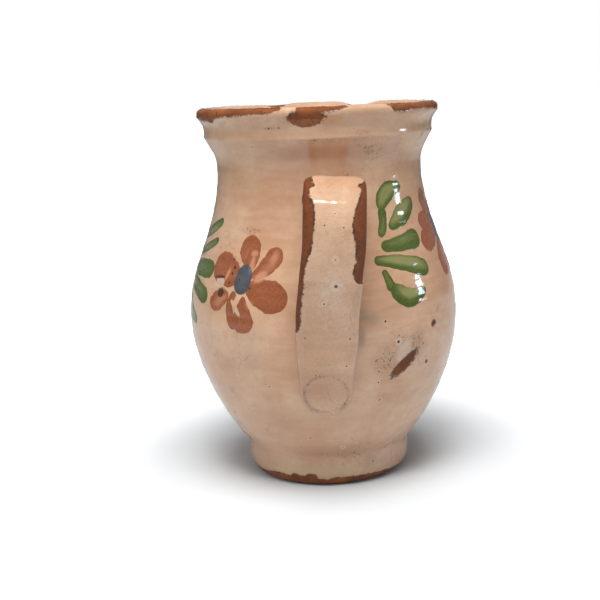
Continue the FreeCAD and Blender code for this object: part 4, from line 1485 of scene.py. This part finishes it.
OPEN_FLOWER = (
    Stroke((3.6, 4.4), (3.2, 12.5), (-1.2, 20.8), (2.4, 6.8, 8.2), 0.2, 0.3),
    Stroke((4.9, 1.6), (13.6, 4.4), (20.0, 15.6), (1.5, 4.5, 5.2), 0.35, -0.2),
    Stroke((3.2, -3.0), (12.2, -7.0), (25.4, -10.0), (3.4, 7.8, 8.2), 0.1),
    Stroke((1.6, -8.2), (1.6, -17.0), (2.2, -26.6), (0.8, 5.4, 8.2), 0.1),
    Stroke((-3.6, -6.6), (-9.6, -13.0), (-3.0, -25.0), (1.8, 2.4, 2.8), 0.1),
    Stroke((-8.2, -7.6), (-13.6, -10.5), (-20.9, -15.0), (2.2, 4.8, 5.4), 0.5, 0.2),
    Stroke((-2.4, -0.2), (-12.0, 3.2), (-23.4, 7.4), (4.4, 8.0, 7.6), 0.15),
    Stroke((3.2, 5.6), (4.0, 9.5), (3.0, 14.5), (1.4, 3.2, 3.2), 0.15),
)
TURNED_FLOWER = (
    Stroke((-3.0, 5.0), (-6.0, 11.0), (-14.5, 20.0), (2.6, 6.2, 6.8), 0.18),
    Stroke((-4.0, 2.0), (-14.0, 6.5), (-23.6, 3.6), (3.0, 5.2, 4.6), 0.12),
    Stroke((-4.0, -1.0), (-15.0, -3.0), (-26.4, -6.6), (3.0, 5.6, 5.8), 0.12),
    Stroke((-2.0, -6.0), (-11.0, -13.0), (-8.0, -25.0), (1.6, 5.6, 5.6), 0.54, 0.5),
    Stroke((2.0, -7.0), (6.0, -14.0), (8.0, -24.0), (1.8, 5.2, 5.6), 0.12),
    Stroke((4.0, 0.0), (12.0, -1.0), (22.0, -3.0), (3.0, 6.4, 6.6), 0.12),
    Stroke((3.0, 5.0), (8.0, 12.0), (12.0, 20.0), (2.6, 6.0, 6.2), 0.18),
)
FLOWER_EYE = (Stroke((1.7, 7.2), (0.2, 0.0), (-1.3, -7.4), (3.6, 5.2, 4.2), 0.25),)
TALL_SPRAY = (
    Stroke((-12.0, 5.6), (-6.8, 4.8), (-7.4, 19.0), (2.6, 2.5, 3.0)),
    Stroke((-7.4, 16.4), (-6.2, 27.6), (9.4, 27.6), (2.7, 5.2, 2.2), 0.9, 0.1),
    Stroke((-4.4, 7.2), (6.0, 13.0), (18.2, 20.2), (1.5, 5.4, 2.6), 0.8, 0.35),
    Stroke((-11.6, -1.2), (3.0, -1.2), (15.6, 1.6), (2.7, 4.2, 5.8), 0.35, 0.3),
    Stroke((-16.8, -7.4), (-2.0, -8.6), (15.4, -15.4), (2.1, 4.0, 5.0), 0.85, 0.3),
    Stroke((-12.8, -12.2), (-11.4, -17.0), (-9.4, -23.0), (1.5, 2.1, 3.0)),
    Stroke((-9.4, -19.6), (-3.0, -32.4), (9.4, -23.6), (3.0, 5.0, 1.7), 0.85, 0.5),
)
WIDE_SPRAY = (
    Stroke((-14.0, 14.5), (-2.0, 17.5), (12.6, 24.0), (2.4, 3.3, 2.2), 0.5, -0.3),
    Stroke((-13.0, 5.5), (0.0, 9.0), (12.0, 14.2), (2.0, 2.7, 1.8), 0.4),
    Stroke((-14.0, -2.5), (0.0, -0.6), (15.8, -1.0), (3.2, 4.8, 4.6), 0.25),
    Stroke((-14.0, -7.0), (-2.0, -11.0), (14.6, -15.4), (2.4, 4.3, 4.2), 0.35, 0.2),
    Stroke((-12.0, -13.0), (-12.0, -25.0), (4.0, -28.5), (2.6, 4.0, 3.0), 0.4),
)


@dataclass
class Motif:
    """A flower and its spray of leaves, brushed on the glazed belly. bedding is how far the slip's edges and back
    sink into the glaze, and laid_over is how much higher each stroke lies than the one before it."""

    name: str
    wall: Wall
    flower: tuple[Stroke, ...]
    flower_azimuth: float
    flower_height: float
    spray: tuple[Stroke, ...]
    spray_azimuth: float
    spray_height: float
    relief: float = 0.05
    eye_relief: float = 0.16
    bedding: float = 0.06
    laid_over: float = 0.012

    def stroke_grid(self, stroke: Stroke, azimuth: float, height: float, relief: float) -> Grid:
        """One stroke as a thin closed pillow on the wall. Its middle line is a parabola through start, bend and end,
        its half width is a smooth curve through the three halves with round ends, and its outline wavers slightly.

        Args:
            stroke: The stroke.
            azimuth: The motif's middle.
            height: The motif's height.
            relief: How far the slip stands off the glaze.

        Returns:
            Rows along the stroke, columns over its face and back under it.
        """
        share = (1 - np.cos(np.linspace(0, math.pi, 72))) / 2
        s = share[:, None]
        a, b, c = (np.array(p)[None, :] for p in (stroke.start, stroke.bend, stroke.end))
        line = a * (1 - s) ** 2 + 2 * b * s * (1 - s) + c * s**2
        along = 2 * (b - a) * (1 - s) + 2 * (c - b) * s
        along /= np.hypot(along[:, 0], along[:, 1])[:, None]
        normal = np.stack([-along[:, 1], along[:, 0]], axis=1)
        length = float(np.sum(np.hypot(*np.diff(line, axis=0).T)))
        half = smooth_through(np.array([0.0, 0.5, 1.0]), np.array(stroke.halves)[:, None], share)[:, 0]
        first, last = stroke.halves[0], stroke.halves[2]
        rounding = np.sqrt(np.clip(1 - (1 - np.clip(share * length / max(first, 0.6), 0, 1)) ** 2, 0, 1))
        rounding *= np.sqrt(np.clip(1 - (1 - np.clip((1 - share) * length / last, 0, 1)) ** 2, 0, 1))
        seed = stroke.start[0] * 1.7 + stroke.end[1]
        waver = 1 + 0.03 * np.sin(share * 19 + seed) + 0.02 * np.sin(share * 43 + seed * 3)
        half = half * rounding * waver
        top = np.linspace(-1, 1, 29)
        under = np.linspace(1, -1, 9)[1:-1]
        across = np.concatenate([top, under])
        is_top = np.concatenate([np.ones(len(top)), np.zeros(len(under))])
        flat = line[:, None, :] + normal[:, None, :] * (half[:, None] * across[None, :])[:, :, None]
        ends = np.clip(rounding * 3, 0, 1)[:, None]
        dome = np.clip((1 - across[None, :] ** 2) * np.maximum(half[:, None], 0.3) / 0.45, 0, 1) ** 0.5 * ends
        face = relief * dome - self.bedding * (1 - dome)
        lift = self.wall.glaze + np.where(is_top > 0, face, -self.bedding)
        angle = azimuth + np.degrees(flat[..., 0] / self.wall.radius_at(height))
        level = height + flat[..., 1]
        spots = self.wall.outside_spots(angle, level, lift)
        middle = bell(across[None, :], stroke.side, 0.62) * np.sin(math.pi * np.clip(s, 0, 1)) ** 0.7
        thin = np.clip(stroke.thin * middle * 1.5, 0, 1) * is_top[None, :]
        marks = {"lost": 0 * thin, "chipped": 0 * thin, "thin": thin}
        for mark in SLIP_MARKS:
            u, v = self.wall.mark_axes(angle, level, mark)
            near = np.exp(-((np.hypot(u / mark.half_length, v / mark.half_width) ** 3) * 0.8))
            marks[mark.kind] = np.maximum(marks[mark.kind], near * mark.strength)
        uv = np.stack(np.broadcast_arrays(s * length / 10, 0.5 + across[None, :] / 2), axis=-1)
        uv = uv + np.array([seed * 0.37, seed * 0.73])
        return Grid(spots, values=marks, uv=uv)

    def piece(
        self,
        suffix: str,
        strokes: tuple[Stroke, ...],
        middle: tuple[float, float],
        relief: float,
        finish: bpy.types.Material,
        slot: Slot,
    ) -> bpy.types.Object:
        """Joins strokes into one dressed piece that stands for the CAD node of the same name.

        Args:
            suffix: The rest of the piece's name, after the motif's.
            strokes: The strokes, in the order of painting.
            middle: The drawing's middle, as azimuth and height.
            relief: How far the first stroke stands off the glaze.
            finish: The piece's material.
            slot: The record's slot for it. Not used.

        Returns:
            The piece.
        """
        grids = [self.stroke_grid(s, *middle, relief + self.laid_over * i) for i, s in enumerate(strokes)]
        made = make_mesh_object(f"{self.name}_{suffix}_brushed", grids)
        settle(made, f"{self.name}_{suffix}", finish)
        return made

    def build(
        self, rust: bpy.types.Material, blue: bpy.types.Material, green: bpy.types.Material
    ) -> list[bpy.types.Object]:
        """Makes and dresses the petals, the flower's centre and the leaves.

        Args:
            rust: Material of the petals.
            blue: Material of the centre.
            green: Material of the leaves.

        Returns:
            The three pieces.
        """
        flower, spray = (self.flower_azimuth, self.flower_height), (self.spray_azimuth, self.spray_height)
        return [
            self.piece("flower_petals", self.flower, flower, self.relief, rust, Slot.RUST),
            self.piece("flower_centre", FLOWER_EYE, flower, self.eye_relief, blue, Slot.BLUE),
            self.piece("leaf_spray", self.spray, spray, self.relief, green, Slot.GREEN),
        ]


# ------------------------------------------------------------------------------------------------ the studio
def stand_at(name: str, data: bpy.types.ID, axes: tuple[Points, Points, Points], place: Iterable) -> bpy.types.Object:
    """Puts a camera or a light in the scene.

    Args:
        name: The object's name.
        data: The camera or light.
        axes: Unit directions of its right side, its top and its back.
        place: Where it stands, in millimetres.

    Returns:
        The object.
    """
    matrix = np.eye(4)
    matrix[:3, 0], matrix[:3, 1], matrix[:3, 2] = axes
    matrix[:3, 3] = np.array(place) * MM
    made = bpy.data.objects.new(name, data)
    bpy.context.scene.collection.objects.link(made)
    made.matrix_world = Matrix(matrix.tolist())
    return made


@dataclass
class Studio:
    """Pale floor, soft light and the camera."""

    distance: float = 606.3
    height: float = 210.6
    pitch: float = 10.91
    roll: float = 2.1
    focal: float = 1113.2
    aside: float = 24.0
    frame_width: float = 600.0
    sensor_width: float = 36.0
    aim_height: float = 100.0
    floor_reach: float = 6.0  # metres each way

    def camera(self) -> None:
        """Stands the camera behind the handle, looking along +Y and down, rolled so that the pot leans left."""
        data = bpy.data.cameras.new("camera")
        data.sensor_width = self.sensor_width
        data.lens = self.sensor_width * self.focal / self.frame_width
        tip, turn = math.radians(self.pitch), math.radians(self.roll)
        data.shift_x = -self.aside * math.cos(turn) / self.frame_width
        data.shift_y = -self.aside * math.sin(turn) / self.frame_width
        ahead = np.array([0, math.cos(tip), -math.sin(tip)])
        upward = np.array([0, math.sin(tip), math.cos(tip)])
        aside = np.array([1, 0, 0])
        right = math.cos(turn) * aside - math.sin(turn) * upward
        top = math.sin(turn) * aside + math.cos(turn) * upward
        place = (0, -self.distance, self.height)
        bpy.context.scene.camera = stand_at("camera", data, (right, top, -ahead), place)

    def lamp(
        self, name: str, place: tuple, size: tuple, power: float, colour: Colour = WHITE, mirrored: bool = False
    ) -> None:
        """Adds one rectangular light that points at the pot's belly.

        Args:
            name: The light's name.
            place: Where it hangs, in millimetres.
            size: Its width and height.
            power: Its power in watts.
            colour: Its colour in linear light.
            mirrored: True if the glaze mirrors it, False if a diffuser hides it.
        """
        data = bpy.data.lights.new(name, "AREA")
        data.shape = "RECTANGLE"
        data.size, data.size_y = size[0] * MM, size[1] * MM
        data.energy, data.color = power, colour[:3]
        back = np.array(place, float) - np.array([0, 0, self.aim_height])
        back /= np.linalg.norm(back)
        side = np.cross([0, 0, 1], back)
        side /= np.linalg.norm(side)
        stand_at(name, data, (side, np.cross(back, side), back), place).visible_glossy = mirrored

    def lights(self) -> None:
        """Two soft keys in front, left and right, a soft light overhead, and two lights that the glaze mirrors: a
        small bluish window to the right and a strip over the camera."""
        self.lamp("key left", (-950, -1050, 1050), (700, 700), 6.4)
        self.lamp("key right", (950, -1050, 900), (700, 700), 1.4)
        self.lamp("overhead", (0, -450, 1500), (900, 900), 27.6)
        self.lamp("window", (1500, 0, 300), (190, 220), 2.6, rgb(0.72, 0.86, 1.0), mirrored=True)
        self.lamp("strip", (-60, -900, 1560), (400, 110), 5.2, mirrored=True)

    def surroundings(self) -> None:
        """White behind the pot, and a dimmer room in front of it for the glaze to reflect."""
        world = bpy.data.worlds.new("room")
        world.use_nodes = True
        tree = world.node_tree
        tree.nodes.clear()
        w = Wiring(tree)
        way = w.add("TexCoord").outputs["Generated"]
        parts = w.add("SeparateXYZ", {0: way}).outputs
        behind = w.ease(parts[1], 0.25, 0.3)
        over = w.ease(parts[2], 0.1, 0.75)
        room = w.blend(behind, rgb(0.17, 0.17, 0.17), rgb(0.24, 0.25, 0.26))
        room = w.blend(over, room, rgb(0.42, 0.42, 0.42))
        path = w.add("LightPath").outputs
        soft = w.blend(path["Is Diffuse Ray"], room, rgb(0.15, 0.15, 0.15))
        colour = w.blend(path["Is Camera Ray"], soft, WHITE)
        glow = w.add("Background", {"Color": colour, "Strength": 1.0})
        sink = w.add("OutputWorld")
        tree.links.new(glow.outputs[0], sink.inputs[0])
        bpy.context.scene.world = world

    def floor(self) -> None:
        """A wide pale floor that isn't part of the object. Away from the pot it glows white for the camera, painted
        light that leaves only a soft shadow near the pot.
        """
        mesh = bpy.data.meshes.new("floor")
        signs = ((-1, -1), (1, -1), (1, 1), (-1, 1))
        mesh.from_pydata([(x * self.floor_reach, y * self.floor_reach, 0) for x, y in signs], [], [(0, 1, 2, 3)])
        made = bpy.data.objects.new("floor", mesh)
        material, w = fresh_material("pale floor")
        away = w.add("VectorMath", {0: w.millimetres()}, operation="LENGTH").outputs["Value"]
        seen = w.add("LightPath").outputs["Is Camera Ray"]
        # Painted light: the floor glows more the further it lies from the pot, for camera rays only.
        glow = w.math("MULTIPLY", w.ease(away, 82.0, 262.0), seen)
        inputs = {
            "Base Color": rgb(0.70, 0.725, 0.74),
            "Roughness": 0.9,
            "Emission Color": w.blend(glow, BLACK, WHITE),
            "Emission Strength": 1.1,
        }
        shader = w.add("BsdfPrincipled", inputs)
        w.tree.links.new(shader.outputs[0], w.add("OutputMaterial").inputs[0])
        mesh.materials.append(material)
        bpy.context.scene.collection.objects.link(made)

    def build(self) -> None:
        """Makes the camera, lights, room and floor, and keeps white as white."""
        self.camera()
        self.lights()
        self.surroundings()
        self.floor()
        bpy.context.scene.view_settings.view_transform = "Standard"


def corners(box: Iterable) -> list[list[float]]:
    """A box's lowest and highest corners as plain numbers."""
    return [[float(x) for x in corner] for corner in box]


def main() -> None:
    """Builds the studio and every piece of the pitcher."""
    logging.basicConfig(level=logging.INFO, format="%(name)s: %(message)s")
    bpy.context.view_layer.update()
    Studio().build()
    wall = Wall()
    coat = WornGlaze(pits=wall.pits(WALL_PITS))
    Pot(wall, coat, WornGlaze(name="cream lining", pitted=0.3), BareClay()).build()
    Strap().build()
    burst = wall.pits(SLIP_PITS)
    rust = BrushedSlip("rust slip", rgb(0.235, 0.066, 0.025), rgb(0.46, 0.205, 0.11), 0.28, burst).material()
    blue = BrushedSlip("blue slip", rgb(0.055, 0.061, 0.072), rgb(0.11, 0.12, 0.13), 0.4, burst).material()
    green = BrushedSlip("green slip", rgb(0.055, 0.085, 0.014), rgb(0.23, 0.225, 0.085), 0.2).material()
    for motif in (
        Motif("left", wall, OPEN_FLOWER, -36.4, 115.8, WIDE_SPRAY, -70.0, 119.0),
        Motif("right", wall, TURNED_FLOWER, 79.0, 134.0, TALL_SPRAY, 38.5, 131.0),
        Motif("front", wall, OPEN_FLOWER, 198.0, 122.0, TALL_SPRAY, 160.0, 124.0),
    ):
        motif.build(rust, blue, green)
    luting = BareClay(name="luting slip").material()
    for name in ("upper_luting_slip", "lower_luting_slip"):
        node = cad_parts[name]
        node.data.materials.clear()
        node.data.materials.append(luting)


if __name__ == "__main__":
    main()
